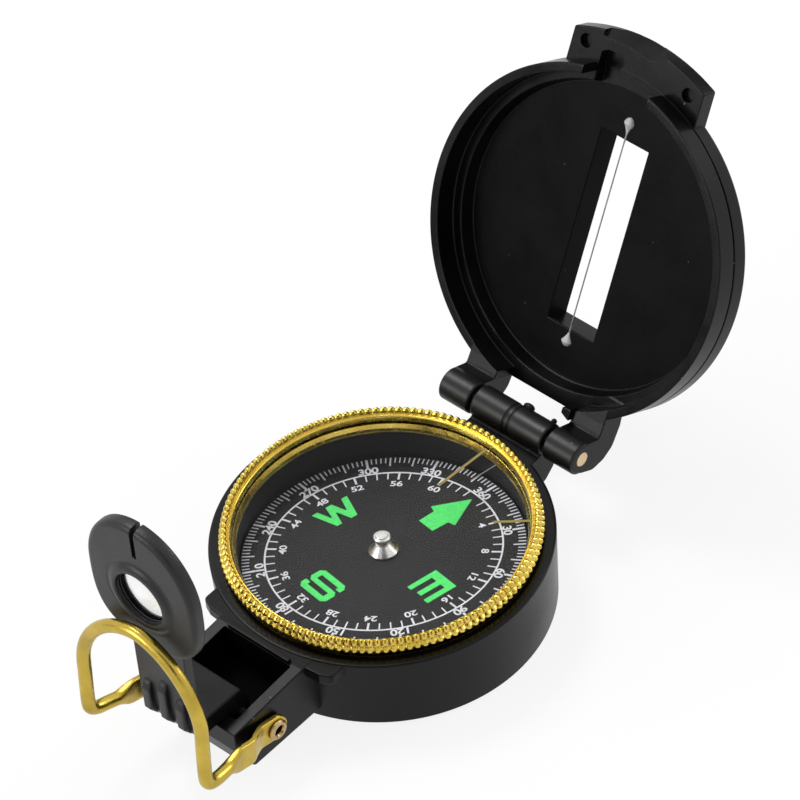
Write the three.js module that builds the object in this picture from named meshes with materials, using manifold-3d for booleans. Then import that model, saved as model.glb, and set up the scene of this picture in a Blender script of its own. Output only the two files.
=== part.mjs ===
// Sighting compass with a hinged cover, a folding lens bracket, a wire thumb
// loop, a turning bezel and a dial that turns in a capsule.
// Millimetres, +Z up. Origin: centre of the case's flat underside.
// +Y points to the cover hinge, -Y to the tail with the lens bracket.
import * as THREE from 'three';
import { mergeVertices } from 'three/addons/utils/BufferGeometryUtils.js';
import Module from 'manifold-3d';

const wasm = await Module();
wasm.setup();

const RAD = Math.PI / 180;

// ---------------------------------------------------------------- sizes
const FIT = 0.3;                 // gap between pieces that touch
const ROUND = 60;                // steps round a large turned piece

// dial card
const CARD_R = 23.1;
const CARD_T = 0.5;
const CARD_TILT = 6.62;          // the dial dips away from level, degrees
const CARD_DIP_DIR = 142.75;     // where its normal leans, degrees from +X
const CARD_HOLE_R = 1.3;
const HUB_R = 2.3;
const HUB_KNOB_R = 1.35;
const HUB_H = 3.42;
const JEWEL_R = 0.7;
const MAGNET_L = 24.0;
const MAGNET_W = 5.0;
const MAGNET_T = 1.6;

// capsule round the card
const CARD_PLAY = 0.3;
const CUP_WALL = 0.6;
const CUP_IN = CARD_R + CARD_PLAY;
const CUP_OUT = CUP_IN + CUP_WALL;
const CUP_FLOOR_T = 1.0;
const WINDOW_T = 0.4;
const POST_R = 0.4;
const POST_FOOT_R = 2.0;

// bezel and crystal
const SKIRT_IN = CUP_OUT + 0.4;
const SKIRT_T = 0.8;
const SKIRT_OUT = SKIRT_IN + SKIRT_T;
const SKIRT_LIP = 0.7;
const BEZEL_OVER = 0.52;         // bezel rim past its own skirt
const BEZEL_R = SKIRT_OUT + BEZEL_OVER;
const BEZEL_H = 3.34;            // crest above the case land
const BEZEL_LIFT = 0.8;          // gap between bezel and land
const CRYSTAL_T = 0.5;
const CRYSTAL_TOP = 1.49;        // above the land

// case
const CASE_RIM = 2.28;           // land outside the bezel
const CASE_R = BEZEL_R + CASE_RIM;
const CASE_DRAFT = 0.6;          // smaller radius at the foot
const LAND_Z = 14.46;            // case height
const CASE_FLOOR_T = 3.2;
const EDGE = 0.35;
const MOUTH_R = SKIRT_OUT + 0.4;
const LIP_R = SKIRT_OUT + SKIRT_LIP;
const UNDERCUT_R = LIP_R + FIT;
const RING_IN = SKIRT_OUT + FIT;
const RING_OUT = LIP_R + 0.6;
const RING_T = 0.6;
const GROOVE_R = RING_OUT + FIT;

// hinge
const HINGE_Y = CASE_R + 3.15;
const HINGE_Z = LAND_Z + 1.63;
const KNUCKLE_R = 2.86;
const HINGE_MID = 1.3;           // the hinge stands a little off the middle
const KNUCKLE_HALF = 7.45;
const HINGE_GAP = 0.6;
const ARM_X0 = KNUCKLE_HALF + HINGE_GAP;
const ARM_X1 = ARM_X0 + 6.25;
const PIN_R = 1.0;

// cover, in its own frame: y runs from the hinge, z outwards, when shut
const COVER_OPEN = 118.48;       // how far it stands open, degrees
const COVER_OVER = 1.2;          // cover radius past the case
const COVER_R = CASE_R + COVER_OVER;
const COVER_L = HINGE_Y - 0.04;  // hinge axis to cover centre
const RIM_T = 1.55;
const RIM_D = 3.75;
const LEDGE_D = 7.9;
const LEDGE_W = 1.7;
const FLOOR_D = 10.39;
const FLOOR_T = 1.3;
const BACK_D = 10.9;
const CROWN_D = 15.65;
const CROWN_T = 1.4;
const CROWN_IN = 3.7;            // crown edge inside the cover edge
const SEAM_D = 7.6;
const SLOT_HALF = 4.9;
const SLOT_LOW = -17.11;         // slot ends from the cover centre
const SLOT_HIGH = 17.19;
const COLLAR_T = 1.0;
const WIRE_R = 0.22;
const ANCHOR_R = 0.9;
const TAB_HALF = 13.5;
const TAB_OVER = 5.4;            // tab past the cover edge
const TAB_D0 = 7.8;
const TAB_D1 = 11.0;
const TAB_NOTCH_HALF = 7.2;
const TAB_NOTCH = 1.9;
const TAB_HOLE_X = 10.6;
const TAB_HOLE_R = 1.3;
const HINGE_CUT = 2.7;           // edge of the floor between the arms, from the hinge axis

// tail
const EAR_HALF = 13.8;
const EAR_END = CASE_R + 0.3;
const EAR_T = 2.1;
const CHEEK_X0 = 7.1;
const CHEEK_T = 2.0;
const CHEEK_X1 = CHEEK_X0 + CHEEK_T;
const CHANNEL_FRONT = CASE_R + 1.5;
const WALL_FRONT = CASE_R + 14.4;
const WALL_T = 2.5;
const WALL_BACK = WALL_FRONT + WALL_T;
const TAIL_DROP = 1.46;          // tail top falls to the rear
const TAIL_FOOT = 2.8;
const CHANNEL_FLOOR = 7.0;       // under the land
const STRIP_Y = CASE_R + 0.7;
const STRIP_H = 0.7;

// lens bracket, from its pivot
const PIVOT_Y = -(CASE_R + 11.8);
const PIVOT_Z = LAND_Z - 2.96;
const BRACKET_HALF = 5.6;
const LUG_R = 2.2;
const GRIP_FRONT = 8.2;
const GRIP_BACK = 10.1;
const PLATE_FRONT = 9.3;
const PLATE_T = 2.6;
const PLATE_W = 11.2;
const PLATE_H = 13.0;
const PLATE_C = 35.4;
const LENS_C = 33.5;
const LENS_HOLE_R = 5.4;
const LENS_SEAT_R = 6.9;
const SEAT_DEPTH = 1.55;
const LENS_T = 0.5;
const SIGHT_W = 0.9;
const SIGHT_DEPTH = 5.4;
const RIB_X = 3.6;
const RIB_W = 1.7;
const RIB_H = 0.9;
const BLOCK_TOP = 5.2;

// thumb loop, from its rivets
const RIVET_Y = -(CASE_R + 9.2);
const RIVET_Z = LAND_Z - 5.76;
const RIVET_R = 0.9;
const RIVET_HEAD_R = 1.65;
const STRAP_T = 1.1;
const STRAP_H = 4.6;
const STRAP_X = CHEEK_X1 + FIT + STRAP_T / 2;
const LOOP_WIRE_R = 1.15;
const LOOP_HALF = 12.6;
const LOOP_BACK = 18.2;          // arch foot behind the rivets
const LOOP_SPRING = 16.4;        // where the arch starts to bend in
const LOOP_RISE = 13.4;

// ---------------------------------------------------------------- materials
const surface = (color, roughness, metalness) =>
  new THREE.MeshStandardMaterial({ color, roughness, metalness });
const BLACK_PLASTIC = surface(0x1b1c1e, 0.35, 0);
const MATTE_PLASTIC = surface(0x3a3b3d, 0.6, 0);
const GOLD = surface(0xc9a832, 0.3, 1);
const STEEL = surface(0xb9bcc0, 0.3, 1);
const BRASS = surface(0xb59355, 0.4, 1);
const CLEAR = surface(0xe8eef0, 0.05, 0);
const DIAL_BLACK = surface(0x121314, 0.5, 0);
const MAGNET_GREY = surface(0x5c5f63, 0.45, 1);
const CUP_BLACK = surface(0x17181a, 0.5, 0);

// ---------------------------------------------------------------- helpers
// A geometry as a closed solid, its shared vertices joined.
function solid(geometry) {
  for (const name of ['normal', 'uv']) geometry.deleteAttribute(name);
  const g = mergeVertices(geometry, 1e-4);
  const p = g.attributes.position;
  const tri = [];
  let volume = 0;
  const a = new THREE.Vector3(), b = new THREE.Vector3(), c = new THREE.Vector3();
  for (let i = 0; i < g.index.count; i += 3) {
    const [u, v, w] = [0, 1, 2].map((k) => g.index.getX(i + k));
    if (u === v || v === w || w === u) continue;
    tri.push(u, v, w);
    a.fromBufferAttribute(p, u); b.fromBufferAttribute(p, v); c.fromBufferAttribute(p, w);
    volume += a.dot(b.cross(c));
  }
  if (volume < 0) {
    for (let i = 0; i < tri.length; i += 3) [tri[i + 1], tri[i + 2]] = [tri[i + 2], tri[i + 1]];
  }
  return new wasm.Manifold(new wasm.Mesh({
    numProp: 3,
    vertProperties: new Float32Array(p.array),
    triVerts: new Uint32Array(tri),
  }));
}

// A closed solid back as a geometry, moved by the given offset.
function shape(body, x = 0, y = 0, z = 0) {
  const m = body.getMesh();
  const g = new THREE.BufferGeometry();
  const n = m.numProp;
  const points = new Float32Array((m.vertProperties.length / n) * 3);
  for (let i = 0; i < points.length / 3; i++) {
    for (let k = 0; k < 3; k++) points[i * 3 + k] = m.vertProperties[i * n + k];
  }
  g.setAttribute('position', new THREE.BufferAttribute(points, 3));
  g.setIndex(Array.from(m.triVerts));
  g.computeVertexNormals();
  return g.translate(x, y, z);
}

function join(...bodies) { return bodies.reduce((a, b) => a.add(b)); }
function cut(body, ...tools) { return tools.reduce((a, b) => a.subtract(b), body); }

// A solid turned about Z from a profile of [radius, height] points.
function turned(profile, steps = ROUND) {
  const [first, last] = [profile[0], profile[profile.length - 1]];
  const open = first[0] > 0 || last[0] > 0;
  const points = open ? [...profile, first] : profile;
  const g = new THREE.LatheGeometry(points.map(([r, z]) => new THREE.Vector2(r, z)), steps);
  return solid(g.rotateX(Math.PI / 2));
}

function box([x0, x1], [y0, y1], [z0, z1]) {
  const g = new THREE.BoxGeometry(x1 - x0, y1 - y0, z1 - z0);
  return solid(g.translate((x0 + x1) / 2, (y0 + y1) / 2, (z0 + z1) / 2));
}

function outline(points) {
  const s = new THREE.Shape();
  points.forEach(([u, v], i) => (i ? s.lineTo(u, v) : s.moveTo(u, v)));
  s.closePath();
  return s;
}

// An outline pushed along X, its points given as [y, z].
function alongX(points, x0, x1) {
  const g = new THREE.ExtrudeGeometry(outline(points), { depth: x1 - x0, bevelEnabled: false, curveSegments: 1 });
  const basis = new THREE.Matrix4().makeBasis(
    new THREE.Vector3(0, 1, 0), new THREE.Vector3(0, 0, 1), new THREE.Vector3(1, 0, 0));
  return solid(g.applyMatrix4(basis).translate(x0, 0, 0));
}

// An outline pushed along Y, its points given as [x, z].
function alongY(points, y0, y1) {
  const g = new THREE.ExtrudeGeometry(outline(points), { depth: y1 - y0, bevelEnabled: false, curveSegments: 1 });
  return solid(g.rotateX(Math.PI / 2).translate(0, y1, 0));
}

// An outline pushed along Z, its points given as [x, y].
function alongZ(points, z0, z1) {
  const g = new THREE.ExtrudeGeometry(outline(points), { depth: z1 - z0, bevelEnabled: false, curveSegments: 1 });
  return solid(g.translate(0, 0, z0));
}

// Round bars along each axis.
function barX(r, x0, x1, y, z, steps = 32) {
  const g = new THREE.CylinderGeometry(r, r, x1 - x0, steps);
  return solid(g.rotateZ(Math.PI / 2).translate((x0 + x1) / 2, y, z));
}
function barY(r, y0, y1, x, z, steps = 40) {
  const g = new THREE.CylinderGeometry(r, r, y1 - y0, steps);
  return solid(g.translate(x, (y0 + y1) / 2, z));
}
function barZ(r, z0, z1, x = 0, y = 0, steps = 32) {
  const g = new THREE.CylinderGeometry(r, r, z1 - z0, steps);
  return solid(g.rotateX(Math.PI / 2).translate(x, y, (z0 + z1) / 2));
}

function arc(cx, cy, r, from, to, steps) {
  return Array.from({ length: steps + 1 }, (_, i) => {
    const t = (from + (to - from) * (i / steps)) * RAD;
    return [cx + r * Math.cos(t), cy + r * Math.sin(t)];
  });
}

const power = (v, p) => Math.sign(v) * Math.abs(v) ** (2 / p);

const model = new THREE.Group();
function piece(parent, name, geometry, material) {
  const mesh = new THREE.Mesh(geometry, material);
  mesh.name = name;
  parent.add(mesh);
  return mesh;
}

// ---------------------------------------------------------------- case
// Turned shell: foot, drafted wall, land, and the stepped bore for the bezel
// skirt, its retaining ring and the capsule.
function caseShell() {
  const foot = CASE_R - CASE_DRAFT;
  const ringZ = LAND_Z - 1.36;
  const lipZ = ringZ - RING_T - 1.1;
  return turned([
    [0, 0], [foot - 0.6, 0], [foot, 0.6], [CASE_R, LAND_Z - EDGE], [CASE_R - EDGE, LAND_Z],
    [MOUTH_R, LAND_Z], [MOUTH_R, ringZ + FIT + 0.3], [GROOVE_R, ringZ + FIT + 0.3],
    [GROOVE_R, ringZ - RING_T + 0.3 - FIT], [UNDERCUT_R, ringZ - RING_T + 0.3 - FIT],
    [UNDERCUT_R, lipZ - 0.3], [CUP_OUT + FIT, lipZ - 0.3], [CUP_OUT + FIT, CASE_FLOOR_T], [0, CASE_FLOOR_T],
  ]);
}

// Middle knuckle and the block that carries it on the case wall.
function hingeBlock() {
  const y = HINGE_Y;
  const root = CASE_R - 2.4;
  const web = alongX([
    [root, 7.4], [CASE_R - 0.6, 7.6], [y - 1.55, LAND_Z - 6.0], [y + 0.35, LAND_Z - 4.46],
    [y + 2.5, HINGE_Z - 1.2], [y, HINGE_Z], [y - 2.85, LAND_Z + 0.1], [root, LAND_Z],
  ], HINGE_MID - KNUCKLE_HALF, HINGE_MID + KNUCKLE_HALF);
  const knuckle = barX(KNUCKLE_R, HINGE_MID - KNUCKLE_HALF, HINGE_MID + KNUCKLE_HALF, y, HINGE_Z);
  return join(web, knuckle);
}

// Tail: ears, two cheeks, the rear wall and the channel between them.
function tailBlock() {
  const rear = LAND_Z - TAIL_DROP;
  const root = -(CASE_R - 3.0);
  const body = alongX([
    [root, TAIL_FOOT], [-(CASE_R + 13.5), TAIL_FOOT], [-(WALL_BACK - 0.9), TAIL_FOOT + 2.9],
    [-WALL_BACK, LAND_Z - 5.5], [-WALL_BACK, rear], [-(CASE_R + 1), LAND_Z - 0.16], [root, LAND_Z - 0.16],
  ], -CHEEK_X1, CHEEK_X1);
  const earTop = LAND_Z - 0.16;
  const ears = alongZ([
    [-EAR_HALF, -(CASE_R - 4.2)], [-EAR_HALF, -(EAR_END - 2.0)],
    [-EAR_HALF + 0.8, -(EAR_END - 0.9)], [-CHEEK_X1, -EAR_END], [CHEEK_X1, -EAR_END],
    [EAR_HALF - 0.8, -(EAR_END - 0.9)], [EAR_HALF, -(EAR_END - 2.0)], [EAR_HALF, -(CASE_R - 4.2)],
  ], earTop - EAR_T, earTop);
  const channel = box([-CHEEK_X0, CHEEK_X0], [-WALL_FRONT, -CHANNEL_FRONT],
    [LAND_Z - CHANNEL_FLOOR, LAND_Z + 3]);
  const strip = box([-CHEEK_X0 + 0.6, CHEEK_X0 - 0.6], [-(STRIP_Y + 0.8), -STRIP_Y],
    [LAND_Z - 1, LAND_Z - 0.16 + STRIP_H]);
  return join(cut(join(body, ears), channel), strip);
}

function caseBody() {
  const bore = turned([
    [0, CASE_FLOOR_T], [CUP_OUT + FIT, CASE_FLOOR_T], [CUP_OUT + FIT, 8], [GROOVE_R, 8], [GROOVE_R, LAND_Z + 2], [0, LAND_Z + 2],
  ]);
  const outside = cut(join(hingeBlock(), tailBlock()), bore);
  let body = join(caseShell(), outside);
  body = cut(body,
    barX(PIN_R + FIT, HINGE_MID - KNUCKLE_HALF - 1, HINGE_MID + KNUCKLE_HALF + 1, HINGE_Y, HINGE_Z, 24),
    barX(PIN_R + FIT, -(CHEEK_X1 - 0.5), CHEEK_X1 - 0.5, PIVOT_Y, PIVOT_Z, 24));
  for (const side of [-1, 1]) {
    const [x0, x1] = [side * (CHEEK_X0 - 1), side * (CHEEK_X1 + 1)].sort((a, b) => a - b);
    body = cut(body, barX(RIVET_R + FIT, x0, x1, RIVET_Y, RIVET_Z, 20));
  }
  return body;
}

// Capsule: a thin cup, its window and the post the dial balances on.
const CUP_Z = CASE_FLOOR_T + FIT;
const CRYSTAL_Z = LAND_Z + CRYSTAL_TOP;
const WINDOW_Z = CRYSTAL_Z - CRYSTAL_T - FIT;
const CUP_TOP = WINDOW_Z - WINDOW_T - FIT;
const CARD_Z = LAND_Z - 3.43;
const JEWEL_H = 1.7;

function capsuleCup() {
  return turned([
    [0, CUP_Z], [CUP_OUT, CUP_Z], [CUP_OUT, CUP_TOP], [CUP_IN, CUP_TOP], [CUP_IN, CUP_Z + CUP_FLOOR_T], [0, CUP_Z + CUP_FLOOR_T],
  ]);
}
function capsuleWindow() {
  return turned([[0, WINDOW_Z - WINDOW_T], [CUP_OUT - 0.1, WINDOW_Z - WINDOW_T], [CUP_OUT - 0.1, WINDOW_Z], [0, WINDOW_Z]]);
}
function pivotPost() {
  const foot = CUP_Z + CUP_FLOOR_T + FIT;
  const tip = CARD_Z + JEWEL_H - FIT - 0.1;
  return turned([
    [0, foot], [POST_FOOT_R, foot], [POST_FOOT_R, foot + 0.6], [POST_R, foot + 1.2], [POST_R, tip - 0.8], [0, tip],
  ], 20);
}

// ---------------------------------------------------------------- bezel
function bezelRing() {
  const z = LAND_Z;
  const lipZ = z - 1.36 - RING_T - 1.1;
  return turned([
    [SKIRT_IN, lipZ], [LIP_R, lipZ], [LIP_R, lipZ + 0.8], [SKIRT_OUT, lipZ + 0.8],
    [SKIRT_OUT, z + BEZEL_LIFT], [BEZEL_R - 0.25, z + BEZEL_LIFT], [BEZEL_R - 0.14, z + 1.1],
    [BEZEL_R, z + BEZEL_H - 0.5], [BEZEL_R - 0.4, z + BEZEL_H], [BEZEL_R - 0.8, z + BEZEL_H],
    [BEZEL_R - 1.32, z + 2.5], [CUP_OUT - 0.25, CRYSTAL_Z + FIT], [SKIRT_IN, CRYSTAL_Z + FIT],
  ], 80);
}
function crystalDisc() {
  const r = SKIRT_IN - FIT;
  return turned([[0, CRYSTAL_Z - CRYSTAL_T], [r, CRYSTAL_Z - CRYSTAL_T], [r, CRYSTAL_Z], [0, CRYSTAL_Z]]);
}
function retainingRing() {
  const top = LAND_Z - 1.36;
  return turned([[RING_IN, top - RING_T], [RING_OUT, top - RING_T], [RING_OUT, top], [RING_IN, top]]);
}

// ---------------------------------------------------------------- dial
function cardDisc() {
  return cut(turned([[0, -CARD_T], [CARD_R, -CARD_T], [CARD_R, 0], [0, 0]]), barZ(CARD_HOLE_R, -2, 2, 0, 0, 20));
}
function cardMagnet() {
  const z = -CARD_T - FIT;
  const bar = box([-MAGNET_W / 2, MAGNET_W / 2], [-MAGNET_L / 2, MAGNET_L / 2], [z - MAGNET_T, z]);
  return cut(bar, barZ(CARD_HOLE_R, z - 5, z + 1, 0, 0, 20));
}
function hubCap() {
  const base = FIT;
  const hollow = JEWEL_R + FIT;
  return turned([
    [hollow, base], [HUB_R, base], [HUB_R - 0.1, base + 0.4], [HUB_KNOB_R, 1.7], [HUB_KNOB_R - 0.35, 2.1],
    [HUB_KNOB_R, 2.5], [HUB_KNOB_R, HUB_H - 0.35], [HUB_KNOB_R - 0.33, HUB_H], [0, HUB_H],
    [0, JEWEL_H + 0.6 + FIT], [hollow, JEWEL_H + 0.6 + FIT], [hollow, base],
  ], 32);
}
function jewelCup() {
  return turned([[0, JEWEL_H + 0.1], [JEWEL_R - 0.2, JEWEL_H], [JEWEL_R, JEWEL_H], [JEWEL_R, JEWEL_H + 0.6], [0, JEWEL_H + 0.6]], 20);
}

// ---------------------------------------------------------------- cover
// All in the cover's own frame: hinge axis on X, the shut cover along -Y.
const COVER_Y = -COVER_L;
const CROWN_R = COVER_R - CROWN_IN;
function coverTurned(profile, steps = ROUND) {
  return solid(new THREE.LatheGeometry(
    [...profile, ...(profile[0][0] > 0 ? [profile[0]] : [])].map(([r, z]) => new THREE.Vector2(r, z)), steps)
    .rotateX(Math.PI / 2).translate(0, COVER_Y, 0));
}
function slotBlock(grow, d0, d1) {
  return box([-SLOT_HALF - grow, SLOT_HALF + grow],
    [COVER_Y - SLOT_HIGH - grow, COVER_Y - SLOT_LOW + grow], [d0, d1]);
}

// One hinge arm: knuckle, and the horn that joins it to the rim.
function coverArm(side) {
  const [x0, x1] = [HINGE_MID + side * ARM_X0, HINGE_MID + side * ARM_X1].sort((a, b) => a - b);
  const horn = alongX([
    [KNUCKLE_R * 0.98, 0.3], [0.1, 6.9], [-2.2, LEDGE_D], [-10, LEDGE_D], [-10, RIM_D], [-3.2, RIM_D - 0.4], [-3.35, 0],
    [0, -0.5],
  ], x0, x1);
  return join(horn, barX(KNUCKLE_R, x0, x1, 0, 0));
}

// Tab opposite the hinge, with two blind holes and a notched outer edge.
function coverTab() {
  const R = COVER_R + TAB_OVER;
  const edge = Math.asin(TAB_HALF / R) / RAD;
  const round = 2.2;
  const pts = [
    [-TAB_HALF, COVER_Y - (COVER_R - 4)],
    [-TAB_HALF, COVER_Y - (R * Math.cos(edge * RAD) - round)],
    ...arc(0, COVER_Y, R, 270 - edge + round * 1.5, 270 + edge - round * 1.5, 14),
    [TAB_HALF, COVER_Y - (R * Math.cos(edge * RAD) - round)],
    [TAB_HALF, COVER_Y - (COVER_R - 4)],
  ];
  let tab = alongZ(pts, TAB_D0, TAB_D1);
  tab = cut(tab, box([-TAB_NOTCH_HALF, TAB_NOTCH_HALF], [COVER_Y - R - 2, COVER_Y - R + TAB_NOTCH], [TAB_D0 - 1, TAB_D1 + 1]));
  return tab;
}

function coverShell() {
  const r = COVER_R;
  const inner = r - RIM_T;
  const outer = coverTurned([
    [0, RIM_D], [r - 0.25, RIM_D], [r, RIM_D + 0.25], [r, SEAM_D - 0.25], [r - 0.35, SEAM_D - 0.2],
    [r - 0.35, SEAM_D + 0.2], [r, SEAM_D + 0.25], [r, BACK_D - 0.5], [r - 0.5, BACK_D],
    [CROWN_R, FLOOR_D + FLOOR_T], [0, FLOOR_D + FLOOR_T],
  ]);
  const cavity = coverTurned([
    [0, RIM_D - 9], [inner, RIM_D - 9], [inner, LEDGE_D], [inner - LEDGE_W, LEDGE_D],
    [inner - LEDGE_W - 0.55, FLOOR_D], [0, FLOOR_D],
  ]);
  const collar = slotBlock(COLLAR_T, FLOOR_D + 0.2, CROWN_D);
  let body = join(cut(join(outer, coverArm(-1), coverArm(1), coverTab()), cavity), collar);
  const neckGap = box([-BRACKET_HALF - 0.6, BRACKET_HALF + 0.6], [COVER_Y - r - 2, COVER_Y - inner + 3], [RIM_D - 1, TAB_D0]);
  const hingeGap = box([HINGE_MID - ARM_X0, HINGE_MID + ARM_X0], [-HINGE_CUT, KNUCKLE_R + 8], [-9, CROWN_D]);
  const rimGap = box([HINGE_MID - ARM_X0, HINGE_MID + ARM_X0], [-HINGE_CUT - 6, KNUCKLE_R + 8], [-9, LEDGE_D]);
  body = cut(body, slotBlock(0, FLOOR_D - 3, CROWN_D + 3), neckGap, hingeGap, rimGap,
    barX(PIN_R + FIT, HINGE_MID - ARM_X1 - 1, HINGE_MID + ARM_X1 + 1, 0, 0, 24),
    ...[-1, 1].map((side) => barZ(TAB_HOLE_R, TAB_D0 - 2, TAB_D0 + 2, side * TAB_HOLE_X, COVER_Y - COVER_R - 1.2, 20)),
    box([-2 * WIRE_R - FIT / 2, 2 * WIRE_R + FIT / 2], [COVER_Y - SLOT_HIGH - 2.2, COVER_Y - SLOT_LOW + 2.2], [FLOOR_D - 1, FLOOR_D + WIRE_R + FIT]));
  return body;
}

// Domed cap that closes the hollow back of the cover round the slot collar.
function coverCap() {
  const d = FLOOR_D + FLOOR_T + FIT;
  const r = CROWN_R;
  const cap = coverTurned([
    [r - CROWN_T, d], [r, d], [r, d + 0.6], [r - 1.2, CROWN_D - 1.6], [r - 3.6, CROWN_D - 0.3], [r - 6.5, CROWN_D], [0, CROWN_D],
    [0, CROWN_D - CROWN_T], [r - 6.7, CROWN_D - CROWN_T], [r - 4.2, CROWN_D - CROWN_T - 0.3], [r - CROWN_T - 1.2, CROWN_D - 3.0], [r - CROWN_T, d],
  ]);
  return cut(cap, slotBlock(COLLAR_T + FIT, d - 2, CROWN_D + 2));
}

function sightWire() {
  const y0 = COVER_Y - SLOT_HIGH - 1.7;
  const y1 = COVER_Y - SLOT_LOW + 1.0;
  return barY(WIRE_R, y0, y1, 0, FLOOR_D, 10);
}
// A small domed blob that holds one end of the wire.
function wireAnchor(y) {
  const top = FLOOR_D - FIT;
  const pts = [[0, top - 0.75], [0.45 * ANCHOR_R, top - 0.68], [0.8 * ANCHOR_R, top - 0.4], [ANCHOR_R, top], [0, top]];
  return solid(new THREE.LatheGeometry(pts.map(([r, z]) => new THREE.Vector2(r, z)), 16)
    .rotateX(Math.PI / 2).translate(0, y, 0));
}

// ---------------------------------------------------------------- lens bracket
// In the pivot's frame, standing upright: rear face to -Y.
function plateOutline() {
  const pts = [];
  const steps = 56;
  for (let i = 0; i < steps; i++) {
    const t = (i / steps) * 2 * Math.PI;
    const p = Math.sin(t) < 0 ? 3.0 : 2.1;
    pts.push([PLATE_W * power(Math.cos(t), p), PLATE_C + PLATE_H * power(Math.sin(t), p)]);
  }
  return pts;
}
function bracketBody() {
  const rearTop = LAND_Z - TAIL_DROP - PIVOT_Z + FIT;
  const plate = alongY(plateOutline(), -PLATE_FRONT - PLATE_T, -PLATE_FRONT);
  const grip = alongX([
    [-GRIP_FRONT, rearTop], [-GRIP_FRONT, PLATE_C - PLATE_H + 2], [-GRIP_BACK, PLATE_C - PLATE_H + 2],
    [-GRIP_BACK, 6.0], [-GRIP_BACK + 0.7, rearTop + 0.8], [-GRIP_BACK + 1.2, rearTop],
  ], -BRACKET_HALF, BRACKET_HALF);
  const foot = alongX([
    [LUG_R, 0], [LUG_R, 2.0], [0.5, BLOCK_TOP], [-GRIP_FRONT - 0.4, BLOCK_TOP], [-GRIP_FRONT - 0.4, rearTop], [-LUG_R, rearTop],
    [-LUG_R, 0], ...arc(0, 0, LUG_R, 200, 340, 10),
  ], -BRACKET_HALF, BRACKET_HALF);
  const ribs = [-1, 0, 1].map((k) => alongX([
    [-GRIP_BACK + 0.3, k ? 10.6 : 12.4], [-GRIP_BACK - RIB_H + 0.3, k ? 9.9 : 11.7], [-GRIP_BACK - RIB_H, k ? 9.0 : 10.8],
    [-GRIP_BACK - RIB_H, 4.6], [-GRIP_BACK + 0.3, rearTop + 0.9],
  ], k * RIB_X - RIB_W / 2, k * RIB_X + RIB_W / 2));
  const back = -PLATE_FRONT - PLATE_T;
  return cut(join(plate, grip, foot, ...ribs),
    barY(LENS_HOLE_R, back - 1, -PLATE_FRONT + 1, 0, LENS_C),
    barY(LENS_SEAT_R, back - 1, back + SEAT_DEPTH, 0, LENS_C),
    box([-SIGHT_W / 2, SIGHT_W / 2], [back - 1, -PLATE_FRONT + 1], [PLATE_C + PLATE_H - SIGHT_DEPTH, PLATE_C + PLATE_H + 1]),
    barX(PIN_R + FIT, -BRACKET_HALF - 1, BRACKET_HALF + 1, 0, 0, 24));
}
function lensDisc() {
  const r = LENS_SEAT_R - FIT;
  const back = -PLATE_FRONT - PLATE_T + SEAT_DEPTH - FIT;
  return solid(new THREE.CylinderGeometry(r, r, LENS_T, 40).translate(0, back - LENS_T / 2, LENS_C));
}
function lensRing() {
  const back = -PLATE_FRONT - PLATE_T;
  const front = back + SEAT_DEPTH - 2 * FIT - LENS_T;
  const r = LENS_SEAT_R - FIT;
  return cut(barY(r, back, front, 0, LENS_C), barY(LENS_HOLE_R + 0.1, back - 1, front + 1, 0, LENS_C));
}

// ---------------------------------------------------------------- thumb loop
// In the rivets' frame: flattened straps on the cheeks, joggled outwards,
// round wire bent up into one arch.
function loopPath() {
  const lean = (z) => -LOOP_BACK + 0.065 * (z - 2.3);
  const half = [
    [STRAP_X + 1.6, -7.6, 1.5], [LOOP_HALF - 0.5, -11.5, 2.5], [LOOP_HALF - 0.1, -LOOP_BACK + 2.9, 3.4],
    [LOOP_HALF, -LOOP_BACK + 0.9, 4.2], [LOOP_HALF, lean(6.0) - 0.1, 6.0], [LOOP_HALF, lean(11), 11],
    [LOOP_HALF, lean(LOOP_SPRING), LOOP_SPRING],
    ...[15, 30, 45, 60, 75].map((t) => {
      const z = LOOP_SPRING + LOOP_RISE * power(Math.sin(t * RAD), 1.8);
      return [LOOP_HALF * power(Math.cos(t * RAD), 1.8), lean(z), z];
    }),
  ];
  const topZ = LOOP_SPRING + LOOP_RISE;
  const left = half.map(([x, y, z]) => new THREE.Vector3(-x, y, z));
  const right = half.map(([x, y, z]) => new THREE.Vector3(x, y, z)).reverse();
  return new THREE.CatmullRomCurve3([...left, new THREE.Vector3(0, lean(topZ), topZ), ...right], false, 'centripetal');
}
function loopStrap(side) {
  const x = STRAP_X, t = STRAP_T / 2;
  const far = 1.6;
  const plan = [
    [x - t, 3.0], [x + t, 3.0], [x + t, -3.6], [x + far + t, -6.0], [x + far + t, -9.6], [x + far - t, -9.6],
    [x + far - t, -6.4], [x - t, -4.0],
  ].map(([u, v]) => [side * u, v]);
  const sideOn = [
    ...arc(0, 0, STRAP_H / 2, -80, 95, 12), [-4.5, STRAP_H / 2 + 0.6], [-8.2, 3.7], [-9.6, 3.3], [-9.6, 1.0], [-6.5, -1.1], [-4.0, -1.7],
  ];
  const [x0, x1] = [side * (x - 2), side * (x + 4)].sort((a, b) => a - b);
  return alongZ(side > 0 ? plan : plan.reverse(), -6, 6).intersect(alongX(sideOn, x0, x1));
}
function loopBody() {
  const ring = new THREE.Shape();
  ring.absarc(0, 0, LOOP_WIRE_R, 0, 2 * Math.PI, false);
  const wire = solid(new THREE.ExtrudeGeometry(ring, {
    steps: 70, curveSegments: 5, bevelEnabled: false, extrudePath: loopPath(),
  }));
  return cut(join(wire, loopStrap(-1), loopStrap(1)),
    barX(RIVET_R + FIT, -STRAP_X - 3, -STRAP_X + 3, 0, 0, 20), barX(RIVET_R + FIT, STRAP_X - 3, STRAP_X + 3, 0, 0, 20));
}
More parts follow.
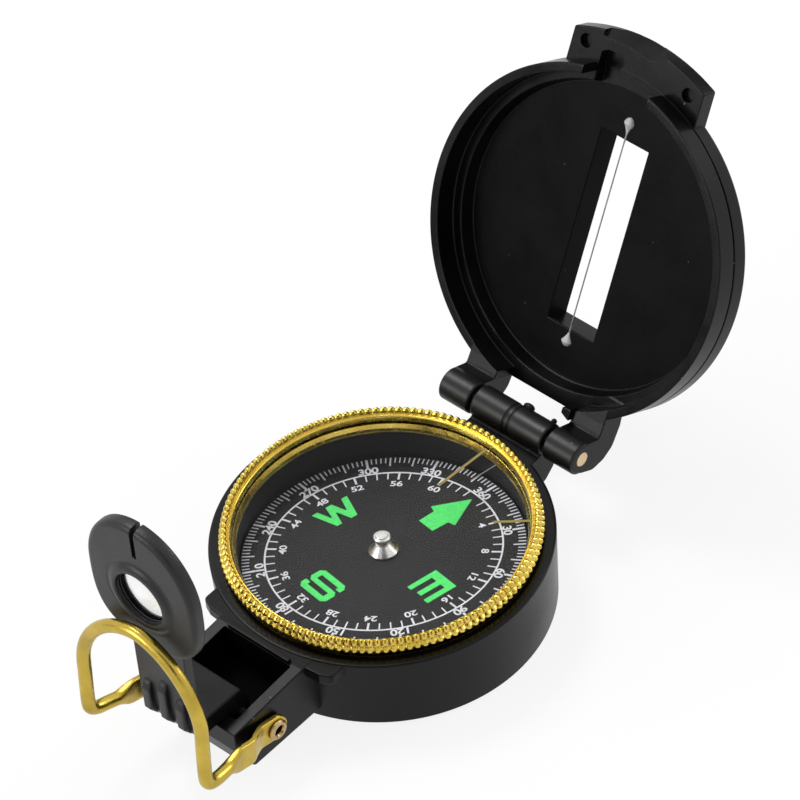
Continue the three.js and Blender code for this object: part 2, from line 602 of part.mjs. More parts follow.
// Tubular rivet through the strap into the cheek.
function rivet(side) {
  const head0 = STRAP_X + STRAP_T / 2 + FIT;
  const [a0, a1] = [side * (CHEEK_X0 + 0.4), side * (head0 + 0.4)].sort((a, b) => a - b);
  const [b0, b1] = [side * head0, side * (head0 + 0.5)].sort((a, b) => a - b);
  const [c0, c1] = [side * (head0 - 0.6), side * (head0 + 2)].sort((a, b) => a - b);
  return cut(join(barX(RIVET_R, a0, a1, 0, 0, 20), barX(RIVET_HEAD_R, b0, b1, 0, 0, 28)), barX(0.45, c0, c1, 0, 0, 14));
}

// ---------------------------------------------------------------- assembly
const caseGroup = new THREE.Group();
model.add(caseGroup);
piece(caseGroup, 'base_case', shape(caseBody()), BLACK_PLASTIC);
piece(caseGroup, 'capsule_cup', shape(capsuleCup()), CUP_BLACK);
piece(caseGroup, 'capsule_window', shape(capsuleWindow()), CLEAR);
piece(caseGroup, 'pivot_post', shape(pivotPost()), STEEL);
piece(caseGroup, 'bezel_retaining_ring', shape(retainingRing()), STEEL);
piece(caseGroup, 'hinge_pin', shape(barX(PIN_R, -ARM_X1, ARM_X1, 0, 0, 20)), BRASS).position.set(HINGE_MID, HINGE_Y, HINGE_Z);
piece(caseGroup, 'bracket_pin', shape(barX(PIN_R, -(CHEEK_X1 - 0.5 - FIT), CHEEK_X1 - 0.5 - FIT, 0, 0, 20)), STEEL)
  .position.set(0, PIVOT_Y, PIVOT_Z);
for (const [name, side] of [['loop_rivet_left', -1], ['loop_rivet_right', 1]]) {
  piece(caseGroup, name, shape(rivet(side)), BRASS).position.set(0, RIVET_Y, RIVET_Z);
}

const bezelGroup = new THREE.Group();
model.add(bezelGroup);
piece(bezelGroup, 'bezel_ring', shape(bezelRing()), GOLD);
piece(bezelGroup, 'crystal', shape(crystalDisc()), CLEAR);

const dialGroup = new THREE.Group();
dialGroup.position.set(0, 0, CARD_Z);
dialGroup.quaternion.setFromUnitVectors(new THREE.Vector3(0, 0, 1), new THREE.Vector3(
  Math.sin(CARD_TILT * RAD) * Math.cos(CARD_DIP_DIR * RAD),
  Math.sin(CARD_TILT * RAD) * Math.sin(CARD_DIP_DIR * RAD),
  Math.cos(CARD_TILT * RAD)));
model.add(dialGroup);
piece(dialGroup, 'compass_card', shape(cardDisc()), DIAL_BLACK);
piece(dialGroup, 'card_magnet', shape(cardMagnet()), MAGNET_GREY);
piece(dialGroup, 'hub_cap', shape(hubCap()), STEEL);
piece(dialGroup, 'jewel_bearing', shape(jewelCup()), CLEAR);

const coverGroup = new THREE.Group();
coverGroup.position.set(0, HINGE_Y, HINGE_Z);
coverGroup.rotation.x = -COVER_OPEN * RAD;
model.add(coverGroup);
piece(coverGroup, 'cover_shell', shape(coverShell()), BLACK_PLASTIC);
piece(coverGroup, 'cover_cap', shape(coverCap()), BLACK_PLASTIC);
piece(coverGroup, 'sight_wire', shape(sightWire()), STEEL);
piece(coverGroup, 'wire_anchor_upper', shape(wireAnchor(COVER_Y - SLOT_HIGH - 2.8)), STEEL);
piece(coverGroup, 'wire_anchor_lower', shape(wireAnchor(COVER_Y - SLOT_LOW + 1.6)), STEEL);

const bracketGroup = new THREE.Group();
bracketGroup.position.set(0, PIVOT_Y, PIVOT_Z);
model.add(bracketGroup);
piece(bracketGroup, 'lens_bracket', shape(bracketBody()), MATTE_PLASTIC);
piece(bracketGroup, 'lens', shape(lensDisc()), CLEAR);
piece(bracketGroup, 'lens_ring', shape(lensRing()), MATTE_PLASTIC);

const loopGroup = new THREE.Group();
loopGroup.position.set(0, RIVET_Y, RIVET_Z);
model.add(loopGroup);
piece(loopGroup, 'thumb_loop', shape(loopBody()), GOLD);

export default model;
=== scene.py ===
"""A folding sighting compass: case, gold bezel, dial, crystal, slotted cover, lens bracket and thumb loop.

Shapes are worked out in millimetres in the frame's axes and written to the meshes in metres.
"""

import math

import bmesh
import bpy
import numpy as np
from mathutils import Matrix


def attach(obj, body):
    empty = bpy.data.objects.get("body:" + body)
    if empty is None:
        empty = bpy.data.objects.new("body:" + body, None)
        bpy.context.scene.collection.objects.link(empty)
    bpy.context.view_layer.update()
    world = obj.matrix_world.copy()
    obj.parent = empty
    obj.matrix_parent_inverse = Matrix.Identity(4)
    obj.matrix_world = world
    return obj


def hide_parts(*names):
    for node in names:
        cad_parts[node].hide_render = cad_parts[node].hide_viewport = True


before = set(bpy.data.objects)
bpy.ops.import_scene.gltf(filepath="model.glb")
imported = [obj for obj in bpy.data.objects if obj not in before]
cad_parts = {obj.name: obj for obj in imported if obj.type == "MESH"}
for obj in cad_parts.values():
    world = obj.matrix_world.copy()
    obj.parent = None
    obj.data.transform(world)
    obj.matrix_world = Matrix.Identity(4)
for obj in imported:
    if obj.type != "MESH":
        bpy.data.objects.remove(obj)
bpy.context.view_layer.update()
scene = bpy.context.scene

# ------------------------------------------------------------------ camera
# A long lens from the right rear quarter, rolled a little, so the compass
# lies across the square picture from the thumb loop up to the open cover.
IMAGE_PX, FOCAL_PX, SENSOR_MM = 800, 6745.6, 36.0
VIEW_AZIMUTH, VIEW_ELEVATION, VIEW_ROLL = (math.radians(a) for a in (46.58, 45.87, -6.63))
VIEW_DISTANCE, VIEW_SHIFT, VIEW_TARGET = 1083.3, (2.36, 26.21), np.array([0.0, 0.0, 8.0])

sa, ca, se, ce = (f(a) for a in (VIEW_AZIMUTH, VIEW_ELEVATION) for f in (math.sin, math.cos))
view_back = np.array([sa * ce, -ca * ce, se])
level_right = np.array([ca, sa, 0.0])
level_up = np.cross(view_back, level_right)
view_right = math.cos(VIEW_ROLL) * level_right + math.sin(VIEW_ROLL) * level_up
view_up = -math.sin(VIEW_ROLL) * level_right + math.cos(VIEW_ROLL) * level_up
view_eye = (VIEW_TARGET + view_back * VIEW_DISTANCE
            + view_right * VIEW_SHIFT[0] + view_up * VIEW_SHIFT[1]) / 1000


def standing(across, over, towards, place):
    """The matrix of an object at a place, with its three axes along the given directions."""
    return Matrix([[across[i], over[i], towards[i], place[i]] for i in range(3)] + [[0, 0, 0, 1]])


camera_data = bpy.data.cameras.new("camera")
camera_data.sensor_fit = "HORIZONTAL"
camera_data.sensor_width = SENSOR_MM
camera_data.lens = FOCAL_PX / IMAGE_PX * SENSOR_MM
camera_data.clip_start = 0.05
camera = bpy.data.objects.new("camera", camera_data)
camera.matrix_world = standing(view_right, view_up, view_back, view_eye)
scene.collection.objects.link(camera)
scene.camera = camera

# ------------------------------------------------------------------ studio
# A white table under three soft boxes: overhead, in front and behind. Three
# black cards out of shot give the gloss of black plastic and metal its darks.
scene.view_settings.view_transform = "Standard"
TABLE_WHITE, TABLE_HALF, TABLE_DROP = (0.9, 0.9, 0.9, 1), 6, 0.00005
CARD_BLACK = (0.012, 0.012, 0.012, 1)
TABLE_GLOW_SHARE = 0.86
SKY_LIGHT, SKY_SEEN = 0.60, 1.0
LAMPS = (
    # name, place, aim, size, watts
    ("overhead_box", (-0.52, 0.10, 0.90), (0, 0, 0.02), 0.34, 5.0),
    ("front_box", (-0.45, -0.85, 0.42), (0, 0, 0.02), 0.40, 4.2),
    ("rear_box", (0.40, 0.80, 0.50), (0, 0.01, 0.03), 0.35, 2.4),
)
BLACK_CARDS = (
    # name, place, aim, half width, half height
    ("card_over_camera", (0.6325, -0.5975, 0.8975), (0, 0, 0.02), 0.40, 0.40),
    ("card_low_front", (-0.354, -0.604, 0.09), (0, 0, 0.09), 0.42, 0.085),
    ("card_low_rear", (-0.354, 0.604, 0.14), (0, 0, 0.14), 0.36, 0.135),
)


def new_finish(name):
    """A material, its node tree and its Principled shader."""
    material = bpy.data.materials.new(name)
    material.use_nodes = True
    return material, material.node_tree, material.node_tree.nodes["Principled BSDF"]


def feed(tree, node, sources):
    """Fills a node's inputs from values or from other sockets."""
    for key, value in sources.items():
        if isinstance(value, bpy.types.NodeSocket):
            tree.links.new(value, node.inputs[key])
        else:
            node.inputs[key].default_value = value


def wire(tree, kind, sources=None, **settings):
    """Adds a node, sets its fields and fills its inputs."""
    made = tree.nodes.new("ShaderNode" + kind)
    for key, value in settings.items():
        setattr(made, key, value)
    feed(tree, made, sources or {})
    return made


def reckon(tree, operation, *terms):
    """The result of one step of arithmetic on values or sockets."""
    return wire(tree, "Math", dict(enumerate(terms)), operation=operation).outputs[0]


def spread(tree, value, low, high, to_low=0.0, to_high=1.0):
    """A value between low and high, stretched to run from to_low to to_high and held there outside."""
    return wire(tree, "MapRange", {"Value": value, "From Min": low, "From Max": high,
                                   "To Min": to_low, "To Max": to_high}).outputs[0]


def looked_at(tree):
    """One for a camera, see-through or mirrored ray, and nought for the light that falls on things."""
    ray = wire(tree, "LightPath").outputs
    seen = reckon(tree, "MAXIMUM", ray["Is Camera Ray"], ray["Is Transmission Ray"])
    return reckon(tree, "MAXIMUM", seen, ray["Is Glossy Ray"])


def studio_sheet(name, corners, paint):
    """One four-cornered sheet with its paint, linked into the scene for the studio's table or cards."""
    mesh = bpy.data.meshes.new(name)
    mesh.from_pydata([tuple(map(float, c)) for c in corners], [], [(0, 1, 2, 3)])
    mesh.materials.append(paint)
    sheet = bpy.data.objects.new(name, mesh)
    scene.collection.objects.link(sheet)
    return sheet


def aimed_axes(place, aim):
    """Across, over and towards-the-viewer axes of a lamp or card at a place, turned to face its aim."""
    towards = np.array(place) - np.array(aim)
    towards = towards / np.linalg.norm(towards)
    across = np.cross([0, 0, 1], towards)
    across /= np.linalg.norm(across)
    return across, np.cross(towards, across), towards


world = bpy.data.worlds.new("studio_world")
scene.world = world
world.use_nodes = True
sky = world.node_tree
feed(sky, sky.nodes["Background"], {
    "Color": (1, 1, 1, 1), "Strength": spread(sky, looked_at(sky), 0.0, 1.0, SKY_LIGHT, SKY_SEEN)})

square = ((-1, -1), (1, -1), (1, 1), (-1, 1))
matte_paint = {"Roughness": 0.9, "Specular IOR Level": 0.0}
table_paint, table_tree, table_shader = new_finish("table_paint")
feed(table_tree, table_shader, {"Base Color": TABLE_WHITE, **matte_paint})
table_glow = wire(table_tree, "Emission", {"Strength": 1.0})
table_share = reckon(table_tree, "MULTIPLY", looked_at(table_tree), TABLE_GLOW_SHARE)
table_mix = wire(table_tree, "MixShader",
                 {0: table_share, 1: table_shader.outputs[0], 2: table_glow.outputs[0]})
feed(table_tree, table_tree.nodes["Material Output"], {0: table_mix.outputs[0]})
table = studio_sheet("table", [(a * TABLE_HALF, b * TABLE_HALF, 0) for a, b in square], table_paint)
table.location.z = -TABLE_DROP

for name, place, aim, size, watts in LAMPS:
    lamp_data = bpy.data.lights.new(name, "AREA")
    lamp_data.shape = "SQUARE"
    lamp_data.size = size
    lamp_data.energy = watts
    lamp = bpy.data.objects.new(name, lamp_data)
    lamp.matrix_world = standing(*aimed_axes(place, aim), place)
    scene.collection.objects.link(lamp)

card_black, card_tree, card_shader = new_finish("card_black")
feed(card_tree, card_shader, {"Base Color": CARD_BLACK, **matte_paint})
for name, place, aim, half_width, half_height in BLACK_CARDS:
    across, over, _ = aimed_axes(place, aim)
    corners = [np.array(place) + a * half_width * across + b * half_height * over for a, b in square]
    studio_sheet(name, corners, card_black).visible_camera = False

# ------------------------------------------------------------------ case wall
# The round case is one glossy black moulding: a drafted wall on a flat foot,
# with a polished land round the bezel and a stepped bore behind it.
CASE_R, CASE_FOOT_R, LAND_Z = 28.0, 27.4, 14.46
CASE_MOUTH_R, CASE_BORE_R, CASE_FLOOR_Z = 25.6, 24.3, 3.2
SEAM, CRISP = 2e-7, 32


def box_outline(left, right, low, high):
    """The four corners of a rectangle."""
    return np.array([(left, low), (right, low), (right, high), (left, high)], float)


def round_angles(steps):
    """Evenly spaced angles once round."""
    return np.linspace(0, 2 * np.pi, steps, endpoint=False)


def unit(rows):
    """Each row divided by its length."""
    return rows / np.maximum(np.linalg.norm(rows, axis=1, keepdims=True), 1e-9)


def winding(outline):
    """Plus or minus one, the sign of the outline's area, for which way round it runs."""
    x, y = outline.T
    return np.sign((x * np.roll(y, -1) - y * np.roll(x, -1)).sum())


def rounded(corners, radius, steps=5):
    """A closed outline whose corners become arcs tangent to both sides, each no longer than half its side."""
    p = np.asarray(corners, float)
    a, b = np.roll(p, 1, 0) - p, np.roll(p, -1, 0) - p
    la, lb = np.linalg.norm(a, axis=1, keepdims=True), np.linalg.norm(b, axis=1, keepdims=True)
    a, b = a / la, b / lb
    half = np.arccos(np.clip((a * b).sum(1, keepdims=True), -1, 1)) / 2
    want = np.broadcast_to(np.asarray(radius, float).reshape(-1, 1), half.shape)
    flat = (np.pi - 2 * half < 0.02) | (want < 1e-6)
    half = np.where(flat, np.pi / 4, half)
    t = np.minimum(np.where(flat, 1e-6, want) / np.tan(half), 0.49 * np.minimum(la, lb))
    r = t * np.tan(half)
    centre = p + unit(a + b) * r / np.sin(half)
    u, w = (p + a * t - centre) / r, (p + b * t - centre) / r
    sweep = np.arccos(np.clip((u * w).sum(1, keepdims=True), -1, 1))[..., None]
    k = np.linspace(0, 1, steps + 1)[None, :, None]
    turn = np.sin((1 - k) * sweep) * u[:, None] + np.sin(k * sweep) * w[:, None]
    arc = np.where(sweep < 1e-4, u[:, None], turn / np.maximum(np.sin(sweep), 1e-6))
    return np.where(flat[:, None], p[:, None], centre[:, None] + r[:, None] * arc).reshape(-1, 2)


def ring_shell(points, capped=True):
    """A shell over rows of rings: its two ends are capped by faces, or joined to each other."""
    index = np.arange(points[..., 0].size).reshape(points.shape[:2])
    a, b = (index[:-1], index[1:]) if capped else (index, np.roll(index, -1, 0))
    quads = np.stack([a, np.roll(a, -1, 1), np.roll(b, -1, 1), b], -1).reshape(-1, 4)
    return points.reshape(-1, 3), quads, index[[0, -1]] if capped else []


def closed_mesh(name, shells):
    """A mesh in metres from shells of (points in mm, quads, other faces), seams joined and faces outwards."""
    mesh = bpy.data.meshes.new(name)
    faces, start = [], 0
    for points, quads, others in shells:
        faces += (quads + start).tolist() + [[int(i) + start for i in face] for face in others]
        start += len(points)
    mesh.from_pydata((np.concatenate([shell[0] for shell in shells]) / 1000).tolist(), [], faces)
    work = bmesh.new()
    work.from_mesh(mesh)
    bmesh.ops.remove_doubles(work, verts=work.verts, dist=SEAM)
    bmesh.ops.dissolve_degenerate(work, edges=work.edges, dist=1e-8)
    bmesh.ops.recalc_face_normals(work, faces=work.faces)
    if work.calc_volume(signed=True) < 0:
        bmesh.ops.reverse_faces(work, faces=work.faces)
    work.to_mesh(mesh)
    work.free()
    return mesh


def shade(piece, crisp=CRISP):
    """Shades a piece smooth but for edges past crisp degrees; normals weighed by area keep flats flat."""
    piece.data.shade_smooth()
    piece.data.set_sharp_from_angle(angle=math.radians(crisp))
    piece.modifiers.new("hold_flats", "WEIGHTED_NORMAL").keep_sharp = True


def add_piece(name, shells, material, body, nodes=(), crisp=CRISP):
    """One piece from shells, with its finish, riding on a body and standing in for the nodes."""
    mesh = closed_mesh(name, shells)
    mesh.materials.append(material)
    piece = bpy.data.objects.new(name, mesh)
    scene.collection.objects.link(piece)
    shade(piece, crisp)
    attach(piece, body)
    if nodes:
        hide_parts(*nodes)
    return piece


def turned(profile, steps=256, about="z", centre=(0, 0, 0)):
    """A shell of revolution: the point at angle t is (r cos t, r sin t) across the axis and h along it."""
    profile = np.asarray(profile, float)
    t = round_angles(steps)
    r, h = profile[:, 0][:, None], profile[:, 1][:, None]
    u, v, w = r * np.cos(t), r * np.sin(t), h + 0 * t
    xyz = {"z": (u, v, w), "x": (w, u, v), "y": (v, w, u)}[about]
    return ring_shell(np.stack(xyz, -1) + centre, capped=False)


def rod(radius, low, high, steps, about="z", centre=(0, 0, 0)):
    """A plain round bar between two places along its axis."""
    return turned(box_outline(0, radius, low, high), steps, about, centre)


def carve(piece, *cutters):
    """Cuts closed shells out of a piece, then drops the cutters and shades it again."""
    piece.modifiers.clear()
    for cutter in cutters:
        mesh = closed_mesh("cutter", [cutter])
        tool = bpy.data.objects.new("cutter", mesh)
        scene.collection.objects.link(tool)
        cut = piece.modifiers.new("cut", "BOOLEAN")
        cut.operation, cut.solver, cut.object = "DIFFERENCE", "EXACT", tool
        shown = bpy.context.evaluated_depsgraph_get()
        result = bpy.data.meshes.new_from_object(piece.evaluated_get(shown))
        piece.modifiers.remove(cut)
        old, piece.data = piece.data, result
        bpy.data.meshes.remove(old)
        bpy.data.objects.remove(tool)
        bpy.data.meshes.remove(mesh)
    shade(piece)


def effect_group(name, inputs):
    """A shader node group with named inputs and a finish's three outputs, and its two end nodes."""
    tree = bpy.data.node_groups.new(name, "ShaderNodeTree")
    for label, value in inputs.items():
        kind = "Color" if isinstance(value, tuple) else "Float"
        tree.interface.new_socket(label, in_out="INPUT", socket_type="NodeSocket" + kind).default_value = value
    for label, kind in (("Colour", "Color"), ("Roughness", "Float"), ("Height", "Float")):
        tree.interface.new_socket(label, in_out="OUTPUT", socket_type="NodeSocket" + kind)
    return tree, tree.nodes.new("NodeGroupInput").outputs, tree.nodes.new("NodeGroupOutput")


def noise(tree, place, scale, detail, **more):
    """Soft noise between nought and one, of a scale in waves per metre."""
    return wire(tree, "TexNoise", {"Vector": place, "Scale": scale, "Detail": detail, **more}).outputs["Fac"]


CLOUD_SCALE, FLECK_SCALE, FLECK_RARITY = 95.0, 420.0, 0.78
FLECK_EDGE, FLECK_CORE, FLECK_DULL = 0.085, 0.05, 0.5
CLOUD_DULL = 0.22
DUST_GREY = (0.35, 0.35, 0.34, 1)


def build_moulded_skin():
    """Injection-moulded skin: cloudy colour, uneven gloss, fine grain and a little dust in the light."""
    tree, given, result = effect_group("moulded_skin", {
        "Colour": (0.02, 0.02, 0.02, 1), "Gloss": 0.3, "Grain Scale": 2600.0, "Grain": 0.5, "Cloud": 0.3,
        "Dust": 0.3})
    place = wire(tree, "TexCoord").outputs["Object"]
    grain = noise(tree, place, given["Grain Scale"], 2.0)
    cloud = noise(tree, place, CLOUD_SCALE, 4.0, Roughness=0.6)
    fleck = wire(tree, "TexVoronoi", {"Vector": place, "Scale": FLECK_SCALE, "Randomness": 1.0}).outputs
    speck = spread(tree, fleck["Distance"], FLECK_EDGE, FLECK_CORE)
    rare = reckon(tree, "GREATER_THAN", fleck["Color"], FLECK_RARITY)
    dusty = reckon(tree, "MULTIPLY", reckon(tree, "MULTIPLY", speck, rare), given["Dust"])
    lift = reckon(tree, "MULTIPLY", spread(tree, cloud, 0.3, 0.7, -1.0, 1.0), given["Cloud"])
    gain = reckon(tree, "ADD", lift, 1.0)
    tone = wire(tree, "VectorMath", {0: given["Colour"], 3: gain}, operation="SCALE").outputs[0]
    mixed = wire(tree, "Mix", {0: dusty, 6: tone, 7: DUST_GREY}, data_type="RGBA")
    rough = reckon(tree, "MULTIPLY_ADD", lift, CLOUD_DULL, given["Gloss"])
    rough = reckon(tree, "MULTIPLY_ADD", dusty, FLECK_DULL, rough)
    height = reckon(tree, "MULTIPLY", grain, given["Grain"])
    feed(tree, result, {"Colour": mixed.outputs[2], "Roughness": rough, "Height": height})
    return tree


moulded_skin = build_moulded_skin()
EDGE_SOFTNESS = 0.00016


def skinned(name, group, given, relief, fixed, soft_edge=0.0):
    """A finish that takes colour, roughness and bump from an effect, with soft edges where asked for."""
    material, tree, shader = new_finish(name)
    skin = wire(tree, "Group", given, node_tree=group).outputs
    bump = wire(tree, "Bump", {"Strength": 1.0, "Distance": relief, "Height": skin["Height"]})
    if soft_edge:
        feed(tree, bump, {"Normal": wire(tree, "Bevel", {"Radius": soft_edge}, samples=4).outputs[0]})
    feed(tree, shader, {"Base Color": skin["Colour"], "Roughness": skin["Roughness"],
                        "Normal": bump.outputs[0], **fixed})
    return material


def moulded(name, colour, gloss, grain=0.5, grain_scale=2600.0, cloud=0.3, dust=0.3, relief=0.00002,
            specular=0.13):
    """A plastic finish from the moulded skin, with its edges softened in the light."""
    return skinned(name, moulded_skin, {"Colour": (*colour, 1), "Gloss": gloss, "Grain Scale": grain_scale,
                                        "Grain": grain, "Cloud": cloud, "Dust": dust},
                   relief, {"Specular IOR Level": specular}, EDGE_SOFTNESS)


case_black = moulded("case_black", (0.0026, 0.0026, 0.0028), 0.31, grain=0.35, specular=0.155)


def case_part(name, shells, finish=case_black):
    """A piece of the case's black moulding."""
    return add_piece(name, shells, finish, "case", ["base_case"])


case_profile = rounded(
    [(0, 0), (CASE_FOOT_R - 0.5, 0), (CASE_FOOT_R, 0.55), (CASE_R, LAND_Z), (CASE_MOUTH_R, LAND_Z),
     (CASE_MOUTH_R, 13.5), (CASE_BORE_R, 13.0), (CASE_BORE_R, CASE_FLOOR_Z), (0, CASE_FLOOR_Z)],
    [0, 0.35, 0.4, 0.32, 0.15, 0, 0, 0, 0])
case_part("case_wall", [turned(case_profile)])
land_polished = moulded("land_polished", (0.0030, 0.0030, 0.0032), 0.20, grain=0.1, dust=0.1, specular=0.20)
land_profile = rounded(box_outline(CASE_MOUTH_R + 0.12, CASE_R - 0.42, LAND_Z - 0.3, LAND_Z + 0.012),
                       [0, 0, 0.01, 0.01], 2)
case_part("case_land", [turned(land_profile)], land_polished)

# ------------------------------------------------------------------ tail
# The tail is moulded with the case: two ears, two cheeks that carry the lens
# bracket between them, a rear wall it stands on, and a shallow sill in front.
TAIL_FRONT, TAIL_FOOT, TAIL_TOP, TAIL_REAR_TOP = -24.5, 2.8, 14.3, 13.0
CHEEK_IN, CHEEK_OUT = 7.1, 9.1
CHANNEL_FRONT, CHANNEL_LOW, WALL_FRONT, WALL_BACK = -29.5, 7.46, -42.4, -44.9
ABOVE_TAIL = 18.0


def inset(outline, amount):
    """The outline moved inwards along its corner normals, which keeps side spacing even at a corner."""
    edge = unit(np.roll(outline, -1, 0) - outline)
    after = np.stack([edge[:, 1], -edge[:, 0]], 1)
    before = np.roll(after, 1, 0)
    mitre = (after + before) / np.maximum(1 + (after * before).sum(1, keepdims=True), 0.3)
    return outline - winding(outline) * mitre * amount


def slab(outline, low, high, along, edge=0.2, steps=4):
    """An outline pushed from low to high, its two rims rolled over in quarter circles of radius edge."""
    outline = np.asarray(outline, float)
    outline = outline[np.linalg.norm(outline - np.roll(outline, 1, 0), axis=1) > 1e-5]
    t = np.linspace(0, np.pi / 2, steps + 1)
    inwards = edge * (1 - np.sin(t))
    depth = np.concatenate([low + edge * (1 - np.cos(t)), high - edge * (1 - np.cos(t))[::-1]])
    inwards = np.concatenate([inwards, inwards[::-1]])
    rows = np.stack([np.concatenate([inset(outline, i), np.full((len(outline), 1), d)], 1)
                     for i, d in zip(inwards, depth)])
    u, v, w = rows[..., 0], rows[..., 1], rows[..., 2]
    return ring_shell(np.stack({"x": (w, u, v), "y": (u, w, v), "z": (u, v, w)}[along], -1))


tail_side = rounded(
    [(TAIL_FRONT, TAIL_FOOT), (-41.4, TAIL_FOOT), (-44.0, 5.7), (WALL_BACK, 9.0), (WALL_BACK, TAIL_REAR_TOP),
     (-29.0, TAIL_TOP), (TAIL_FRONT, TAIL_TOP)],
    [0, 0.8, 0.8, 1.0, 0.25, 0.5, 0])
tail_block = case_part("tail_block", [slab(tail_side, -CHEEK_OUT, CHEEK_OUT, "x", 0.22)])
channel = rounded(box_outline(-CHEEK_IN, CHEEK_IN, WALL_FRONT, CHANNEL_FRONT), 0.35)
carve(tail_block, slab(channel, CHANNEL_LOW, ABOVE_TAIL, "z", 0.02))

# A dark, almost unreflective lining inside the channel is painted shade: it stands in for the shade deep in
# the channel. The same painted shade fills the rivet bores.
recess_painted_shade = moulded("recess_painted_shade", (0.0022, 0.0022, 0.0022), 0.6, grain=0.3, dust=0.1, specular=0.01)
LINING_THICK = 0.07
lining_side = np.array([(WALL_FRONT, 7.47), (CHANNEL_FRONT, 7.47), (CHANNEL_FRONT, 14.05), (WALL_FRONT, 12.9)])
lining = case_part("channel_shade_lining", [slab(lining_side, -CHEEK_IN + 0.01, CHEEK_IN - 0.01, "x", 0.001, 1)],
                   recess_painted_shade)
carve(lining, slab(inset(channel, 0.06), CHANNEL_LOW + LINING_THICK, ABOVE_TAIL, "z", 0.001, 1))

ear_half = [(13.8, -22.5), (13.8, -27.2), (11.8, -28.1), (9.3, -28.35)]
ear_plan = rounded([(-x, y) for x, y in ear_half] + ear_half[::-1], [0, 1.0, 0.8, 0.3, 0.3, 0.8, 1.0, 0])
case_part("tail_ears", [slab(ear_plan, 12.2, TAIL_TOP - 0.06, "z", 0.25)])
sill = rounded(box_outline(-6.55, 6.45, -29.45, -28.6), 0.12)
case_part("tail_sill", [slab(sill, 13.2, 15.0, "z", 0.12)])

# ------------------------------------------------------------------ bezel
# The bezel is a turned aluminium ring, anodised gold, with two rows of knurled
# beads round it, and inside them a polished bead and wall down to the crystal.
BEZEL_BEADS, BEAD_STEPS, BEAD_DEPTH, BEAD_SWELL = 128, 8, 0.38, 0.75
CORNER_STEPS = 4
BEZEL_SECTION = np.array([
    # radius, height, rounding and share of the beads' depth at each corner
    (24.4, 11.4, 0, 0), (25.9, 11.4, 0, 0), (25.9, 12.2, 0, 0), (25.2, 12.2, 0, 0), (25.2, 15.2, 0, 0),
    (25.6, 15.2, 0.1, 0.5), (26.05, 15.28, 0.15, 1), (26.26, 15.72, 0.25, 1), (26.14, 16.24, 0.2, 1),
    (25.48, 16.55, 0.05, 0.35), (25.98, 16.86, 0.18, 1), (25.84, 17.42, 0.3, 1), (25.4, 17.88, 0.2, 1),
    (25.05, 17.84, 0.15, 0.8), (24.78, 17.56, 0.1, 0.5), (24.68, 16.88, 0.04, 0), (24.56, 16.82, 0.04, 0),
    (24.38, 16.98, 0.12, 0), (24.16, 16.82, 0.12, 0), (23.95, 16.0, 0.04, 0), (24.4, 16.0, 0, 0)])


def beaded_ring():
    """The turned ring, pressed in along its normal by valleys of one less a power of a cosine of the angle."""
    path = rounded(BEZEL_SECTION[:, :2], BEZEL_SECTION[:, 2], CORNER_STEPS)
    share = np.repeat(BEZEL_SECTION[:, 3:], CORNER_STEPS + 1, 0)
    t = round_angles(BEZEL_BEADS * BEAD_STEPS)[None]
    phase = (t * BEZEL_BEADS / (2 * np.pi)) % 1 - 0.5
    bead = np.maximum(np.cos(np.pi * phase), 0) ** BEAD_SWELL
    along = unit(np.roll(path, -1, 0) - np.roll(path, 1, 0))
    out = np.stack([along[:, 1], -along[:, 0]], 1) * winding(path)
    press = BEAD_DEPTH * share * (1 - bead)
    r = path[:, :1] - out[:, :1] * press
    z = path[:, 1:] - out[:, 1:] * press
    return ring_shell(np.stack([r * np.cos(t), r * np.sin(t), z + 0 * t], -1), capped=False)


METAL_CLOUD, METAL_SMEAR, METAL_RINGS = 180.0, 900.0, 9000.0


def build_turned_metal():
    """Turned metal: rings of fine tool marks about the axis, clouded colour and soft smears in the gloss."""
    tree, given, result = effect_group("turned_metal", {
        "Colour": (0.8, 0.6, 0.2, 1), "Deep Colour": (0.5, 0.3, 0.05, 1), "Gloss": 0.2, "Marks": 0.5})
    place = wire(tree, "TexCoord").outputs["Object"]
    cloud = noise(tree, place, METAL_CLOUD, 4.0)
    smear = noise(tree, place, METAL_SMEAR, 3.0)
    split = wire(tree, "SeparateXYZ", {0: place}).outputs
    flat = wire(tree, "CombineXYZ", {0: split[0], 1: split[1], 2: 0.0}).outputs[0]
    radius = wire(tree, "VectorMath", {0: flat}, operation="LENGTH").outputs["Value"]
    ring = wire(tree, "CombineXYZ", {0: radius, 1: split[2], 2: 0.0}).outputs[0]
    marks = noise(tree, ring, METAL_RINGS, 1.0)
    shade_share = spread(tree, cloud, 0.35, 0.7)
    tone = wire(tree, "Mix", {0: shade_share, 6: given["Colour"], 7: given["Deep Colour"]}, data_type="RGBA")
    rough = reckon(tree, "ADD", given["Gloss"], spread(tree, smear, 0.3, 0.7, -0.06, 0.10))
    height = reckon(tree, "MULTIPLY", marks, given["Marks"])
    feed(tree, result, {"Colour": tone.outputs[2], "Roughness": rough, "Height": height})
    return tree


turned_metal = build_turned_metal()


def metal(name, colour, deep, gloss, marks=0.5, relief=0.000006):
    """A metal finish from the turned metal effect."""
    return skinned(name, turned_metal, {"Colour": (*colour, 1), "Deep Colour": (*deep, 1), "Gloss": gloss,
                                        "Marks": marks}, relief, {"Metallic": 1.0})


gold_anodised = metal("gold_anodised", (0.75, 0.555, 0.12), (0.58, 0.41, 0.068), 0.22, marks=0.06,
                      relief=0.000002)
add_piece("bezel_knurled", [beaded_ring()], gold_anodised, "bezel", ["bezel_ring"], crisp=50)

# ------------------------------------------------------------------ crystal
# The crystal is a flat clear acrylic disc pressed into the bezel. It carries
# two fine gold index lines, and the capsule's window lies just under it.
CRYSTAL_TOP, CRYSTAL_THICK, CRYSTAL_R = 15.95, 0.5, 24.1
HAZE_SCALE, HAZE_DULL = 70.0, 0.05


